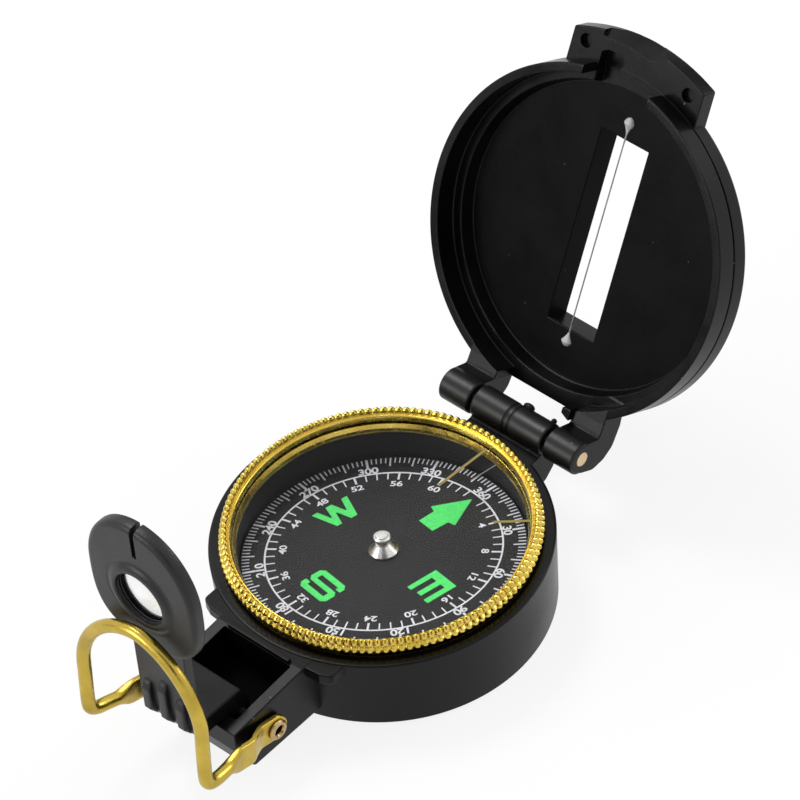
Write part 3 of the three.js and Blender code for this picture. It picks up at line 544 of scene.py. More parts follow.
def clear_sheet(name, gloss, ior):
    """Clear sheet: see-through but for what it mirrors, which grows towards a glancing view."""
    material, tree, shader = new_finish(name)
    inside = wire(tree, "NewGeometry").outputs["Backfacing"]
    mirror = reckon(tree, "MULTIPLY", wire(tree, "Fresnel", {"IOR": ior}).outputs[0],
                    reckon(tree, "SUBTRACT", 1.0, inside))
    haze = noise(tree, wire(tree, "TexCoord").outputs["Object"], HAZE_SCALE, 3.0)
    feed(tree, shader, {"Base Color": (1, 1, 1, 1), "Metallic": 1.0, "Alpha": mirror,
                        "Roughness": spread(tree, haze, 0.35, 0.75, gloss, gloss + HAZE_DULL)})
    return material


crystal_clear = clear_sheet("crystal_clear", 0.03, 1.18)
crystal_profile = rounded(box_outline(0, CRYSTAL_R, CRYSTAL_TOP - CRYSTAL_THICK, CRYSTAL_TOP),
                          [0, 0.06, 0.06, 0])
add_piece("crystal_disc", [turned(crystal_profile, 192)], crystal_clear, "bezel", ["crystal"])

# ------------------------------------------------------------------ dial
# The dial is a printed black card that has settled a few degrees off level.
# White figures, ticks and a ring; green arrow and letters stand a hair proud.
DIAL_CENTRE = np.array([0.0, 0.0, 11.03])
DIAL_TILT, DIAL_LEAN, DIAL_NORTH = math.radians(6.62), math.radians(142.75), 10.31
DIAL_R, DIAL_BORE, DIAL_THICK = 23.1, 1.3, 0.5
CIRCLE_R, CIRCLE_HALF, TICK_OUT = 19.22, 0.15, 22.95

dial_up = np.array([math.sin(DIAL_TILT) * math.cos(DIAL_LEAN), math.sin(DIAL_TILT) * math.sin(DIAL_LEAN),
                    math.cos(DIAL_TILT)])
tilt_axis = np.cross([0, 0, 1], dial_up)
skew = np.cross(tilt_axis, np.eye(3)).T
dial_turn = np.eye(3) + skew + skew @ skew / (1 + dial_up[2])
north = math.radians(90 - DIAL_NORTH)
dial_east = dial_turn @ np.array([math.sin(north), -math.cos(north), 0])
dial_north = dial_turn @ np.array([math.cos(north), math.sin(north), 0])


def tilted(shell):
    """A shell drawn east, north and up on the level card, laid on the tilted one in the frame."""
    east, up_north, rise = (np.asarray(shell[0], float)[:, i:i + 1] for i in range(3))
    return (DIAL_CENTRE + east * dial_east + up_north * dial_north + rise * dial_up, *shell[1:])


dial_black = moulded("dial_black", (0.0165, 0.0160, 0.0172), 0.5, grain=0.02, grain_scale=1800.0, cloud=0.2,
                     dust=0.3, relief=0.000002, specular=0.2)
card_profile = rounded(box_outline(DIAL_BORE, DIAL_R, -DIAL_THICK, 0), [0, 0.1, 0.1, 0])
add_piece("dial_card", [tilted(turned(card_profile, 192))], dial_black, "dial", ["compass_card"])
INK_PATCH, INK_THIN, INK_RELIEF = 1500.0, 0.86, 0.00001


def printed_ink(name, colour, gloss):
    """Screen-printed ink: slightly uneven coverage over a matte film."""
    material, tree, shader = new_finish(name)
    patch = noise(tree, wire(tree, "TexCoord").outputs["Object"], INK_PATCH, 3.0)
    cover = spread(tree, patch, 0.3, 0.6, INK_THIN, 1.0)
    tone = wire(tree, "VectorMath", {0: colour, 3: cover}, operation="SCALE").outputs[0]
    bump = wire(tree, "Bump", {"Strength": 0.6, "Distance": INK_RELIEF, "Height": patch}).outputs[0]
    feed(tree, shader, {"Base Color": tone, "Normal": bump, "Roughness": gloss})
    return material


def bars(angles, inner, outer, widths, rise):
    """Straight radial bars of a height on the card, one closed box each, at clock angles in degrees."""
    n = len(angles)
    a = np.radians(np.asarray(angles, float))[:, None]
    out, side = np.stack([np.sin(a), np.cos(a)], -1), np.stack([np.cos(a), -np.sin(a)], -1)
    inner, outer, widths = (np.broadcast_to(np.asarray(v, float), n)[:, None, None]
                            for v in (inner, outer, widths))
    r = np.where(np.array([0, 0, 1, 1])[None, :, None] == 1, outer, inner)
    flat = out * r + side * (widths / 2 * np.array([-1, 1, 1, -1])[None, :, None])
    points = np.concatenate([np.concatenate([flat, np.full((n, 4, 1), h)], 2) for h in (0, rise)], 1)
    box = np.array([[0, 1, 2, 3], [4, 5, 6, 7], [0, 1, 5, 4], [1, 2, 6, 5], [2, 3, 7, 6], [3, 0, 4, 7]])
    return points.reshape(-1, 3), (np.arange(n)[:, None, None] * 8 + box).reshape(-1, 4), []


FIGURE_SHARE, FIGURE_SPACING = 0.73, 0.96


def figures(label, radius, angle, height, bold, rise, stretch):
    """A number as a thin solid, widened by stretch, its top outwards, centred at a radius and clock angle."""
    text = bpy.data.curves.new("figure", "FONT")
    text.body, text.size, text.offset, text.extrude = label, height / FIGURE_SHARE, bold, rise / 2
    text.align_x, text.align_y, text.space_character = "CENTER", "CENTER", FIGURE_SPACING
    made = bpy.data.objects.new("figure", text)
    scene.collection.objects.link(made)
    mesh = bpy.data.meshes.new_from_object(made.evaluated_get(bpy.context.evaluated_depsgraph_get()))
    flat = np.empty(len(mesh.vertices) * 3)
    mesh.vertices.foreach_get("co", flat)
    flat = flat.reshape(-1, 3)
    flat[:, :2] -= (flat[:, :2].max(0) + flat[:, :2].min(0)) / 2
    a = math.radians(angle)
    across, out = np.array([math.cos(a), -math.sin(a)]), np.array([math.sin(a), math.cos(a)])
    level = flat[:, :1] * stretch * across + (flat[:, 1:2] + radius) * out
    points = np.concatenate([level, flat[:, 2:3] + rise / 2], 1)
    faces = [list(p.vertices) for p in mesh.polygons]
    bpy.data.objects.remove(made)
    bpy.data.meshes.remove(mesh)
    bpy.data.curves.remove(text)
    return points, np.zeros((0, 4), int), faces


# The outer scale counts 360 degrees by twos, the inner one 64 points.
INK_RISE, POINT_ANGLE = 0.03, 5.625
DEGREE_R, DEGREE_HIGH, DEGREE_BOLD, DEGREE_WIDE = 20.12, 1.45, 0.05, 1.18
POINT_R, POINT_HIGH, POINT_BOLD, POINT_WIDE, POINT_BACK = 16.45, 1.26, 0.035, 1.26, 0.5
degree, point = np.arange(0, 360, 2.0), np.arange(1, 64)
tens, thirties, fours = degree % 10 == 0, degree % 30 == 0, point % 4 == 0
outer_marks = bars(degree, np.where(tens, 20.9, 21.7), TICK_OUT,
                   np.where(thirties, 0.42, np.where(tens, 0.27, 0.22)), INK_RISE)
inner_marks = bars(point * POINT_ANGLE, np.where(fours, 17.5, 17.6), CIRCLE_R, np.where(fours, 0.36, 0.23),
                   INK_RISE)
circle = turned(box_outline(CIRCLE_R - CIRCLE_HALF, CIRCLE_R + CIRCLE_HALF, 0, INK_RISE), 180)
white_print = [outer_marks, inner_marks, circle]
white_print += [figures(str(k), DEGREE_R, k, DEGREE_HIGH, DEGREE_BOLD, INK_RISE, DEGREE_WIDE)
                for k in range(30, 361, 30)]
white_print += [figures(str(k), POINT_R, k * POINT_ANGLE - POINT_BACK, POINT_HIGH, POINT_BOLD, INK_RISE,
                        POINT_WIDE) for k in range(4, 61, 4)]
ink_white = printed_ink("ink_white", (0.84, 0.85, 0.90), 0.5)
add_piece("dial_white_print", [tilted(s) for s in white_print], ink_white, "dial", crisp=20)

GREEN_RISE = 0.10
ARROW = [(0, 18.05), (3.2, 12.05), (1.85, 11.7), (1.72, 8.55), (-1.82, 8.55), (-1.95, 11.7), (-3.28, 12.05)]
LETTER_E = [(-3.15, 9.7), (2.7, 9.75), (2.7, 10.75), (-1.55, 10.75), (-1.55, 11.9), (2.4, 11.9), (2.4, 13.0),
            (-1.55, 13.0), (-1.55, 14.05), (2.7, 14.05), (2.7, 15.15), (-3.15, 15.1)]
LETTER_S = [(-2.6, 9.75), (2.5, 9.75), (3.25, 10.4), (3.25, 12.15), (2.6, 12.8), (-2.15, 12.8), (-2.15, 13.8),
            (2.05, 13.8), (2.05, 13.2), (3.2, 13.2), (3.2, 14.2), (2.5, 14.9), (-2.7, 14.9), (-3.45, 14.2),
            (-3.45, 12.5), (-2.8, 11.85), (2.1, 11.85), (2.1, 10.85), (-2.2, 10.85), (-2.2, 11.4),
            (-3.3, 11.4), (-3.3, 10.4)]
LETTER_W = [(-3.35, 14.95), (-2.2, 14.95), (-1.3, 11.9), (-0.55, 14.95), (0.65, 14.95), (1.6, 11.9),
            (2.65, 14.95), (3.8, 14.95), (2.25, 10.0), (1.0, 10.0), (0.05, 13.1), (-0.85, 10.0), (-1.85, 10.0)]


def facing(outline, angle):
    """A letter drawn with its top outwards at north, turned round the dial to a clock angle."""
    a = math.radians(angle)
    return rounded(outline, 0.12, 3) @ np.array([[math.cos(a), -math.sin(a)], [math.sin(a), math.cos(a)]])


green_print = [tilted(slab(facing(shape, angle), 0.0, GREEN_RISE, "z", 0.05, 3))
               for shape, angle in ((ARROW, 0), (LETTER_E, 90), (LETTER_S, 180), (LETTER_W, 270))]
ink_green = printed_ink("ink_green", (0.080, 0.86, 0.17), 0.45)
add_piece("dial_green_print", green_print, ink_green, "dial", crisp=30)

# ------------------------------------------------------------------ hub
# A polished steel hub sits on the card's centre: a spun cone with a small
# round-topped knob, hollow under it for the jewel.
steel_bright = metal("steel_bright", (0.74, 0.73, 0.72), (0.60, 0.59, 0.58), 0.28)
hub_profile = rounded(
    [(1.0, 0.2), (2.45, 0.1), (2.45, 0.30), (1.18, 1.62), (0.95, 1.72), (0.95, 2.4), (1.3, 2.42), (1.48, 2.6),
     (1.48, 2.95), (1.3, 3.14), (1.06, 3.14), (1.03, 3.40), (0, 3.43), (0, 2.6), (0.8, 2.6)],
    [0, 0.05, 0.06, 0.05, 0.05, 0.05, 0.1, 0.15, 0.2, 0.05, 0.03, 0.07, 0, 0, 0])
add_piece("hub_knob", [tilted(turned(hub_profile, 96))], steel_bright, "dial", ["hub_cap"])

# ------------------------------------------------------------------ index lines
# Two fine gold lines are laid on the crystal, one along the case and one at
# forty-five degrees to it, from the bezel's edge inwards.
INDEX_LINES = (((1.75, 23.6), (0.9, 12.8)), ((18.2, 16.4), (13.2, 12.2)))
INDEX_WIDTH = 0.5


def laid_line(start, end, width, low, high):
    """A flat strip between two points of a level sheet, as a closed box."""
    a, b = np.array(start, float), np.array(end, float)
    side = np.array([-(b - a)[1], (b - a)[0]]) / np.linalg.norm(b - a) * width / 2
    return slab(np.array([a - side, b - side, b + side, a + side]), low, high, "z", 0.02, 1)


# The lines' gold ink is partly their own print colour and partly painted shade: it is darkened to stand in for
# the shade on them.
ink_gold_painted_shade = printed_ink("ink_gold_painted_shade", (0.30, 0.225, 0.045), 0.4)
add_piece("index_lines", [laid_line(a, b, INDEX_WIDTH, CRYSTAL_TOP + 0.02, CRYSTAL_TOP + 0.08)
                          for a, b in INDEX_LINES], ink_gold_painted_shade, "bezel")

# ------------------------------------------------------------------ capsule
# The dial turns in a thin cup whose wall shows dark between the card and the
# bezel; its turned top edge is gold and shows through the crystal.
CUP_R, CUP_IN, CUP_LOW, CUP_HIGH = 24.0, 23.4, 3.5, 13.85
capsule_dark = moulded("capsule_dark", (0.010, 0.010, 0.011), 0.35, grain=0.2, dust=0.2)
cup_profile = rounded(
    [(0, CUP_LOW), (CUP_R, CUP_LOW), (CUP_R, CUP_HIGH), (CUP_IN, CUP_HIGH), (CUP_IN, 10.1), (23.32, 9.95),
     (CUP_IN, 9.8), (CUP_IN, 4.5), (0, 4.5)],
    [0, 0.3, 0, 0, 0.02, 0.05, 0.02, 0.4, 0])
add_piece("capsule_wall", [turned(cup_profile, 192)], capsule_dark, "case", ["capsule_cup"])
collar_profile = rounded(
    [(23.42, 14.0), (23.5, 13.9), (24.02, 13.9), (24.02, 15.42), (23.9, 15.42), (23.52, 14.75), (23.42, 14.3)],
    [0.03, 0.05, 0, 0.02, 0.04, 0.12, 0.05], 3)
add_piece("capsule_gold_edge", [turned(collar_profile, 192)], gold_anodised, "case")

# The capsule's own window lies under the crystal. A thin grey line on it is a
# painted reflection of the first index line, and two small bubbles of the damping liquid show against it.
WINDOW_TOP, WINDOW_THICK, WINDOW_R = 15.15, 0.4, 23.45
BUBBLES = ((1.75, 18.6, 0.26), (2.35, 18.35, 0.17))
BUBBLE_DROP = 0.7
window_clear = clear_sheet("window_clear", 0.03, 1.08)
add_piece("capsule_window_disc", [rod(WINDOW_R, WINDOW_TOP - WINDOW_THICK, WINDOW_TOP, 192)], window_clear,
          "case", ["capsule_window"])
# A pale grey ink for the painted reflection of the index line on the window.
ink_painted_reflection = printed_ink("ink_painted_reflection", (0.22, 0.21, 0.19), 0.5)
add_piece("index_line_painted_reflection", [laid_line((4.7, 22.4), (3.75, 17.4), 0.2, WINDOW_TOP + 0.01, WINDOW_TOP + 0.04)],
          ink_painted_reflection, "case")


def dome_profile(radius, half_length, points):
    """Half an ellipse from end to end of the axis, to be turned into a ball or a bead."""
    a = np.linspace(-np.pi / 2, np.pi / 2, points)
    return np.stack([radius * np.cos(a), half_length * np.sin(a)], 1)


bubble = [turned(dome_profile(r, r, 9), 20, "z", (x, y, WINDOW_TOP - BUBBLE_DROP)) for x, y, r in BUBBLES]
bubble_clear = clear_sheet("bubble_clear", 0.05, 1.8)
add_piece("window_bubbles", bubble, bubble_clear, "case")

# ------------------------------------------------------------------ hinge
# The case carries the middle knuckle on a moulded block; the cover's two
# arms lie outside it, and one brass pin runs through all three.
HINGE_MID, HINGE_Y, HINGE_Z, KNUCKLE_R, KNUCKLE_HALF = 1.3, 31.15, 16.09, 2.86, 7.45
ARM_IN, ARM_OUT = 8.05, 14.3
PIN_R, PIN_NECK, PIN_BORE, PIN_END = 1.28, 1.0, 1.3, ARM_OUT + 0.06
hinge_place = (HINGE_MID, HINGE_Y, HINGE_Z)
block_side = rounded(
    [(25.6, 7.4), (27.4, 7.6), (29.6, 8.46), (31.5, 10.0), (33.65, 14.9), (31.15, 16.1), (28.3, 14.56),
     (25.6, 14.46)],
    [0, 0.5, 0.6, 0.6, 0.3, 0, 0.5, 0])
case_part("hinge_block", [slab(block_side, HINGE_MID - KNUCKLE_HALF, HINGE_MID + KNUCKLE_HALF, "x", 0.2)])
# Half of the barrel's outline, from its end to the middle of the groove.
barrel_half = np.array([
    # radius, distance from the middle, rounding
    (0, KNUCKLE_HALF, 0), (KNUCKLE_R, KNUCKLE_HALF, 0.4), (KNUCKLE_R, 0.75, 0.15),
    (KNUCKLE_R - 0.22, 0.6, 0.06), (KNUCKLE_R - 0.22, 0.42, 0.06), (KNUCKLE_R - 0.06, 0.26, 0.1)])
barrel_all = np.concatenate([barrel_half * [1, -1, 1], barrel_half[::-1]])
knuckle_satin = moulded("knuckle_satin", (0.0050, 0.0050, 0.0052), 0.40, grain=0.5, specular=0.30)
case_part("hinge_knuckle", [turned(rounded(barrel_all[:, :2], barrel_all[:, 2], 4), 96, "x", hinge_place)],
          knuckle_satin)
# Two small nubs on the barrel: place across, half width, height.
HINGE_NUBS = ((2.3, 1.1, 0.62), (7.6, 0.5, 0.5))
NUB_Y, NUB_Z = HINGE_Y + 2.5, HINGE_Z + 1.67
case_part("hinge_nubs", [turned(dome_profile(h, w, 13), 24, "x", (x, NUB_Y, NUB_Z)) for x, w, h in HINGE_NUBS])
brass_plain = metal("brass_plain", (0.74, 0.58, 0.36), (0.62, 0.46, 0.27), 0.42)
pin_half = np.array([(0, PIN_END), (1.2, PIN_END), (PIN_R, PIN_END - 0.1), (PIN_R, PIN_END - 0.5),
                     (PIN_NECK, PIN_END - 0.6)])
pin_profile = np.concatenate([pin_half * [1, -1], pin_half[::-1]])
add_piece("hinge_pin_bar", [turned(pin_profile, 48, "x", hinge_place)], brass_plain, "case",
          ["hinge_pin"])

# ------------------------------------------------------------------ cover
# The cover is a deep black lid: rim, inner step, polished floor with a sight
# slot, a domed back cap, two hinge arms and a notched tab opposite them.
COVER_OPEN = math.radians(118.48)
COVER_L, COVER_R, RIM_IN, LEDGE_IN, FLOOR_R = 31.11, 29.2, 27.65, 25.95, 25.4
RIM_D, LEDGE_D, FLOOR_D, BACK_D, CROWN_IN_D, CROWN_EDGE_D, CROWN_D = 3.75, 7.9, 10.39, 10.9, 14.25, 15.5, 15.65
SLOT_HALF, SLOT_LOW, SLOT_HIGH = 4.9, 14.0, 48.3
HAIR = 0.001
cover_black = moulded("cover_black", (0.0028, 0.0028, 0.0030), 0.28, grain=0.3, specular=0.155)


def on_cover(shell):
    """A shell drawn across, away from the hinge and deep on the shut cover, swung open with it."""
    x, s, d = (np.asarray(shell[0], float)[:, i] for i in range(3))
    points = np.stack([x, HINGE_Y - s * math.cos(COVER_OPEN) + d * math.sin(COVER_OPEN),
                       HINGE_Z + s * math.sin(COVER_OPEN) + d * math.cos(COVER_OPEN)], -1)
    return (points, *shell[1:])


def cover_part(name, shell, finish=cover_black, node="cover_shell"):
    """A piece of the cover from a shell drawn on the shut cover."""
    return add_piece(name, [on_cover(shell)], finish, "cover", [node])


def cover_block(x, s, d):
    """A plain box in the cover's terms, used to cut."""
    return on_cover(slab(box_outline(*x, *s), *d, "z", 0.0001, 1))


rim_profile = rounded(
    [(25.2, FLOOR_D), (FLOOR_R, FLOOR_D), (LEDGE_IN, LEDGE_D), (RIM_IN, LEDGE_D), (RIM_IN, RIM_D),
     (COVER_R, RIM_D), (COVER_R, 7.35), (COVER_R - 0.3, 7.45), (COVER_R - 0.3, 7.7), (COVER_R, 7.8),
     (COVER_R, BACK_D), (25.6, 11.7), (25.2, 11.7)],
    [0, 0.25, 0.2, 0.25, 0.18, 0.22, 0.08, 0.05, 0.05, 0.08, 0.7, 0, 0])
cover_rim = cover_part("cover_rim", turned(rim_profile, 320, "z", (0, COVER_L, 0)))
arm_gap = (HINGE_MID - ARM_IN, HINGE_MID + ARM_IN)
carve(cover_rim, *[cover_block(*sides) for sides in (
    (arm_gap, (-3, 2.7), (-6, 20)), (arm_gap, (-3, 8), (-6, LEDGE_D)),
    ((-7.2, 6.2), (57, 64), (0, 7.79)), ((-7.2, 6.2), (54, 58.7), (7.7, FLOOR_D - 0.02)),
    ((-7.2, -2.9), (57, 60.2), (7.7, FLOOR_D - 0.39)))])


def slot_edge(t, grow):
    """The sight slot's outline, found where a ray at angle t leaves the rectangle."""
    w, h = SLOT_HALF + grow, (SLOT_HIGH - SLOT_LOW) / 2 + grow
    reach = np.minimum(w / np.maximum(np.abs(np.cos(t)), 1e-9), h / np.maximum(np.abs(np.sin(t)), 1e-9))
    return np.stack([reach * np.cos(t), (SLOT_HIGH + SLOT_LOW) / 2 + reach * np.sin(t)], -1)


def circle_at(height):
    """Circles about a centre on the midline, as points from an angle and a radius."""
    return lambda t, radius: np.stack([radius * np.cos(t), height + radius * np.sin(t)], -1)


def banded(t, along, *bands):
    """A closed body from bands of (outline, rows of (size, depth)), its outlines joined at equal angles t."""
    rows = np.stack([np.column_stack([edge(t, size), np.full(len(t), depth)])
                     for edge, sizes in bands for size, depth in sizes])
    u, v, w = rows[..., 0], rows[..., 1], rows[..., 2]
    return ring_shell(np.stack((u, w, v) if along == "y" else (u, v, w), -1), capped=False)


slot_corner = math.atan2((SLOT_HIGH - SLOT_LOW) / 2, SLOT_HALF)
slot_corners = [slot_corner, np.pi - slot_corner, np.pi + slot_corner, 2 * np.pi - slot_corner]
slot_angles = np.sort(np.concatenate([round_angles(240), slot_corners]))
ring_edge = circle_at(COVER_L)

floor_gloss = moulded("floor_gloss", (0.0030, 0.0030, 0.0032), 0.28, grain=1.0, grain_scale=900.0, cloud=0.16,
                      dust=0.10, relief=0.00001, specular=0.065)
cover_part("cover_floor", banded(
    slot_angles, "z", (slot_edge, [(0.12, FLOOR_D), (0.04, FLOOR_D + 0.08), (0.04, 11.7)]),
    (ring_edge, [(25.3, 11.7), (25.3, FLOOR_D + 0.01)])), floor_gloss)
# The slot's collar takes a copy of the black moulding with almost no reflection, so that its walls stay dark:
# painted shade inside the slot.
collar_painted_shade = moulded("collar_painted_shade", (0.0050, 0.0050, 0.0052), 0.45, grain=0.4, specular=0.015)
cover_part("slot_collar", banded(
    slot_angles, "z", (slot_edge, [
        (0.0, FLOOR_D + 0.1), (0.0, CROWN_EDGE_D), (0.15, CROWN_D), (0.85, CROWN_D), (1.0, CROWN_EDGE_D),
        (1.0, FLOOR_D + 0.1)])), collar_painted_shade)
SILL_IN = 0.05
sill_plan = box_outline(-SLOT_HALF, SLOT_HALF, SLOT_LOW, SLOT_LOW + SILL_IN)
cover_part("slot_sill", slab(sill_plan, FLOOR_D + 0.15, 15.4, "z", 0.01, 1))
cover_part("cover_back_cap", banded(
    slot_angles, "z", (slot_edge, [(1.3, CROWN_EDGE_D), (1.45, CROWN_D)]),
    (ring_edge, [(19.0, CROWN_D), (20.6, 15.58), (21.9, 15.35), (23.1, 14.9), (24.1, 14.25), (24.9, 13.4),
                 (25.4, 12.6), (25.5, 12.1), (25.35, 11.99), (24.1, 11.99), (22.0, 13.9), (19.0, CROWN_IN_D)]),
    (slot_edge, [(1.3, CROWN_IN_D)])), node="cover_cap")

horn_side = rounded(
    [(0.5, -2.6), (2.2, -1.4), (2.75, 0.4), (3.1, 3.2), (5.4, 3.45), (9.0, 3.75), (9.0, 7.85), (4.6, 8.35),
     (0.8, 7.8), (-1.3, 6.3), (-2.75, 4.0), (-2.75, 0.8), (-2.2, -1.2), (-1.0, -2.4)],
    [1.2, 1.2, 1.0, 0.4, 0.5, 0, 0, 2.5, 3.0, 2.5, 2.5, 2.0, 1.0, 1.0], 7)
hollow = on_cover(turned(
    [(0, -6), (RIM_IN - 0.02, -6), (RIM_IN - 0.02, LEDGE_D - 0.01), (LEDGE_IN - 0.02, LEDGE_D - 0.01),
     (LEDGE_IN - 0.02, 9.6), (0, 9.6)], 256, "z", (0, COVER_L, 0)))
arm_axis = (0, HINGE_Y, HINGE_Z)
for side, side_name in ((-1, "left"), (1, "right")):
    low, high = sorted((HINGE_MID + side * ARM_IN, HINGE_MID + side * ARM_OUT))
    arm = cover_part("cover_horn_" + side_name, slab(horn_side, low, high, "x", 0.2))
    carve(arm, hollow, rod(PIN_BORE, low - 1, high + 1, 64, "x", arm_axis))
    barrel = rounded(box_outline(PIN_BORE, KNUCKLE_R, low + 0.03, high - 0.04), [0, 0.4, 0.4, 0])
    add_piece("cover_knuckle_" + side_name, [turned(barrel, 96, "x", arm_axis)], knuckle_satin,
              "cover", ["cover_shell"])

# The tab's round edge follows a wider circle, and its face carries two blind
# holes, a nail notch that leans outwards with depth and a shallow pocket.
TAB_HALF, TAB_R, TAB_FOOT, TAB_IN, TAB_OUT, TAB_HOLLOW_R = 13.5, 34.6, 25.0, 7.8, 11.0, 27.9
NOTCH_LEAN, POCKET_DEEP = 0.62, 2.2
TAB_HOLE_R, TAB_HOLE_END, TAB_HOLE_X, TAB_HOLE_S = 1.2, 8.9, 10.6, 61.5
BELOW_TAB = 4.0
tab_corner = math.asin(TAB_HALF / TAB_R)
tab_arc = np.linspace(tab_corner, -tab_corner, 49)
tab_plan = np.concatenate([[(TAB_HALF, COVER_L + TAB_FOOT)],
                           np.stack([TAB_R * np.sin(tab_arc), COVER_L + TAB_R * np.cos(tab_arc)], 1),
                           [(-TAB_HALF, COVER_L + TAB_FOOT)]])
tab_plan = rounded(tab_plan, [0, 1.2] + [0] * 47 + [1.2, 0])
cover_tab = cover_part("cover_tab", slab(tab_plan, TAB_IN, TAB_OUT, "z", 0.2))
notch_plan = np.array([(-7.7, 63.7), (-2.7, 64.05), (2.0, 63.57), (5.6, 65.4), (5.6, 69.0), (-7.7, 69.0)])
notch_cut = slab(notch_plan, BELOW_TAB, TAB_OUT + 2.0, "z", HAIR, 1)
notch_cut[0][:, 1] += NOTCH_LEAN * (notch_cut[0][:, 2] - TAB_IN)
pocket_plan = rounded([(-7.2, 56.5), (-2.9, 56.5), (-2.5, 61.4), (-3.4, 62.2), (-6.0, 61.95), (-7.2, 61.2)],
                      [0, 0, 0.4, 0.4, 0.5, 0.5], 4)
tab_cuts = [notch_cut, slab(pocket_plan, BELOW_TAB, TAB_IN + POCKET_DEEP, "z", HAIR, 1)]
tab_cuts += [rod(TAB_HOLE_R, BELOW_TAB, TAB_HOLE_END, 48, "z", (x, TAB_HOLE_S, 0))
             for x in (-TAB_HOLE_X, TAB_HOLE_X)]
tab_cuts += [rod(TAB_HOLLOW_R, BELOW_TAB, 20, 256, "z", (0, COVER_L, 0))]
carve(cover_tab, *[on_cover(cut) for cut in tab_cuts])
lug_plan = rounded([(7.7, 4.2), (9.45, 3.4), (9.45, 5.4), (7.7, 5.2)], 0.15, 2)
cover_part("cover_lug", slab(lug_plan, 2.4, 4.6, "z", 0.12, 2))

# ------------------------------------------------------------------ sight wire
# One fine steel wire runs down the middle of the slot. Each end is held on
# the floor of the cover by a drop of pale resin.
SIGHT_WIRE_R, SIGHT_WIRE_ENDS, SIGHT_WIRE_D = 0.12, (12.6, 50.6), FLOOR_D - 0.05
DROP_ROWS, DROP_STEPS, DROP_HALF = 22, 24, 1.0
wire_grey = metal("wire_grey", (0.30, 0.30, 0.31), (0.22, 0.22, 0.23), 0.35)
cover_part("sight_wire_line", rod(SIGHT_WIRE_R, *SIGHT_WIRE_ENDS, 12, "y", (0, 0, SIGHT_WIRE_D)), wire_grey,
           "sight_wire")
resin_pale = printed_ink("resin_pale", (0.50, 0.50, 0.49), 0.35)


def resin_drop(start, end):
    """A drop along the wire: a tail that swells into a round head, flat against the floor."""
    k = np.linspace(0, 1, DROP_ROWS)[:, None]
    swelling = 0.16 + 0.84 * np.clip((k - 0.3) / 0.45, 0, 1) ** 1.6
    tail = swelling * np.sqrt(np.clip((1 - k) / 0.22, 0, 1)) ** 0.9
    head = np.sqrt(np.clip(1 - ((k - 0.78) / 0.22) ** 2, 0, 1)) + (k < 0.78)
    swell = DROP_HALF * np.minimum(tail, head)
    t = round_angles(DROP_STEPS)[None]
    along = start + (end - start) * k + 0 * t
    return ring_shell(np.stack([swell * np.cos(t), along, FLOOR_D - 0.8 * swell * np.sin(t)], -1))


for name, start, end in (("upper", 47.9, 52.3), ("lower", 14.8, 11.0)):
    cover_part("resin_drop_" + name, resin_drop(start, end), resin_pale, "wire_anchor_" + name)

# ------------------------------------------------------------------ lens bracket
# The bracket is a matte black moulding: a rounded plate with the lens seat
# and a sighting slit, a ribbed grip below it, and a foot on the pivot pin.
PLATE_BACK, PLATE_FRONT, PLATE_W, PLATE_H, PLATE_Z, LENS_Z = -51.7, -49.1, 11.2, 13.0, 46.9, 45.0
HOLE_R, SEAT_R, BOSS_Y = 4.85, 6.9, PLATE_BACK - 0.6
GRIP_HALF, RIB_PITCH, RIB_HALF = 5.6, 3.6, 0.85
SQUARE_BELOW, SQUARE_ABOVE = 3.0, 2.1
bracket_matte = moulded("bracket_matte", (0.0085, 0.0085, 0.009), 0.40, grain=1.6, relief=0.00003,
                        specular=0.36)


def bracket_part(name, shells, finish=bracket_matte, node="lens_bracket"):
    """A piece of the folding bracket."""
    return add_piece(name, shells, finish, "bracket", [node])


def superellipse(t, power):
    """Across and up at angle t on a superellipse of half width and half height one."""
    return [np.sign(v) * np.abs(v) ** (2 / power) for v in (np.cos(t), np.sin(t))]


def plate_edge(t, shrink):
    """The plate's outline: a superellipse, rounder above and squarer below, drawn in along its normal."""
    across, up = superellipse(t, np.where(np.sin(t) < 0, SQUARE_BELOW, SQUARE_ABOVE))
    return inset(np.stack([PLATE_W * across, PLATE_Z + PLATE_H * up], -1), shrink)


# From the seat in front through the hole to the boss behind, then over the
# plate's rim and back round to the front.
lens_circle = circle_at(LENS_Z)
plate = banded(
    round_angles(240), "y",
    (lens_circle, [
        (HOLE_R, PLATE_FRONT - 0.15), (HOLE_R, PLATE_FRONT - 0.5), (SEAT_R, PLATE_FRONT - 0.5),
        (SEAT_R, PLATE_BACK + 0.45), (HOLE_R + 0.12, PLATE_BACK + 0.42), (HOLE_R, PLATE_BACK + 0.3),
        (HOLE_R, BOSS_Y + 0.35), (HOLE_R + 0.08, BOSS_Y + 0.14), (HOLE_R + 0.28, BOSS_Y + 0.02),
        (HOLE_R + 0.5, BOSS_Y), (5.7, BOSS_Y + 0.03), (6.05, BOSS_Y + 0.14), (6.35, BOSS_Y + 0.33),
        (6.55, BOSS_Y + 0.52), (6.75, PLATE_BACK + 0.05), (7.0, PLATE_BACK + 0.09), (7.25, PLATE_BACK + 0.04),
        (7.5, PLATE_BACK)]),
    (plate_edge, [
        (1.05, PLATE_BACK), (0.62, PLATE_BACK + 0.09), (0.26, PLATE_BACK + 0.34), (0.06, PLATE_BACK + 0.68),
        (0.0, PLATE_BACK + 1.05), (0.0, PLATE_FRONT - 0.5), (0.07, PLATE_FRONT - 0.25),
        (0.25, PLATE_FRONT - 0.07), (0.5, PLATE_FRONT)]),
    (lens_circle, [(HOLE_R + 0.15, PLATE_FRONT)]))
bracket_plate = bracket_part("bracket_plate", [plate])
slit = rounded(box_outline(-0.45, 0.45, 53.9, 61), 0.1, 2)
carve(bracket_plate, slab(slit, PLATE_BACK - 1, PLATE_FRONT + 1, "y", HAIR, 1))

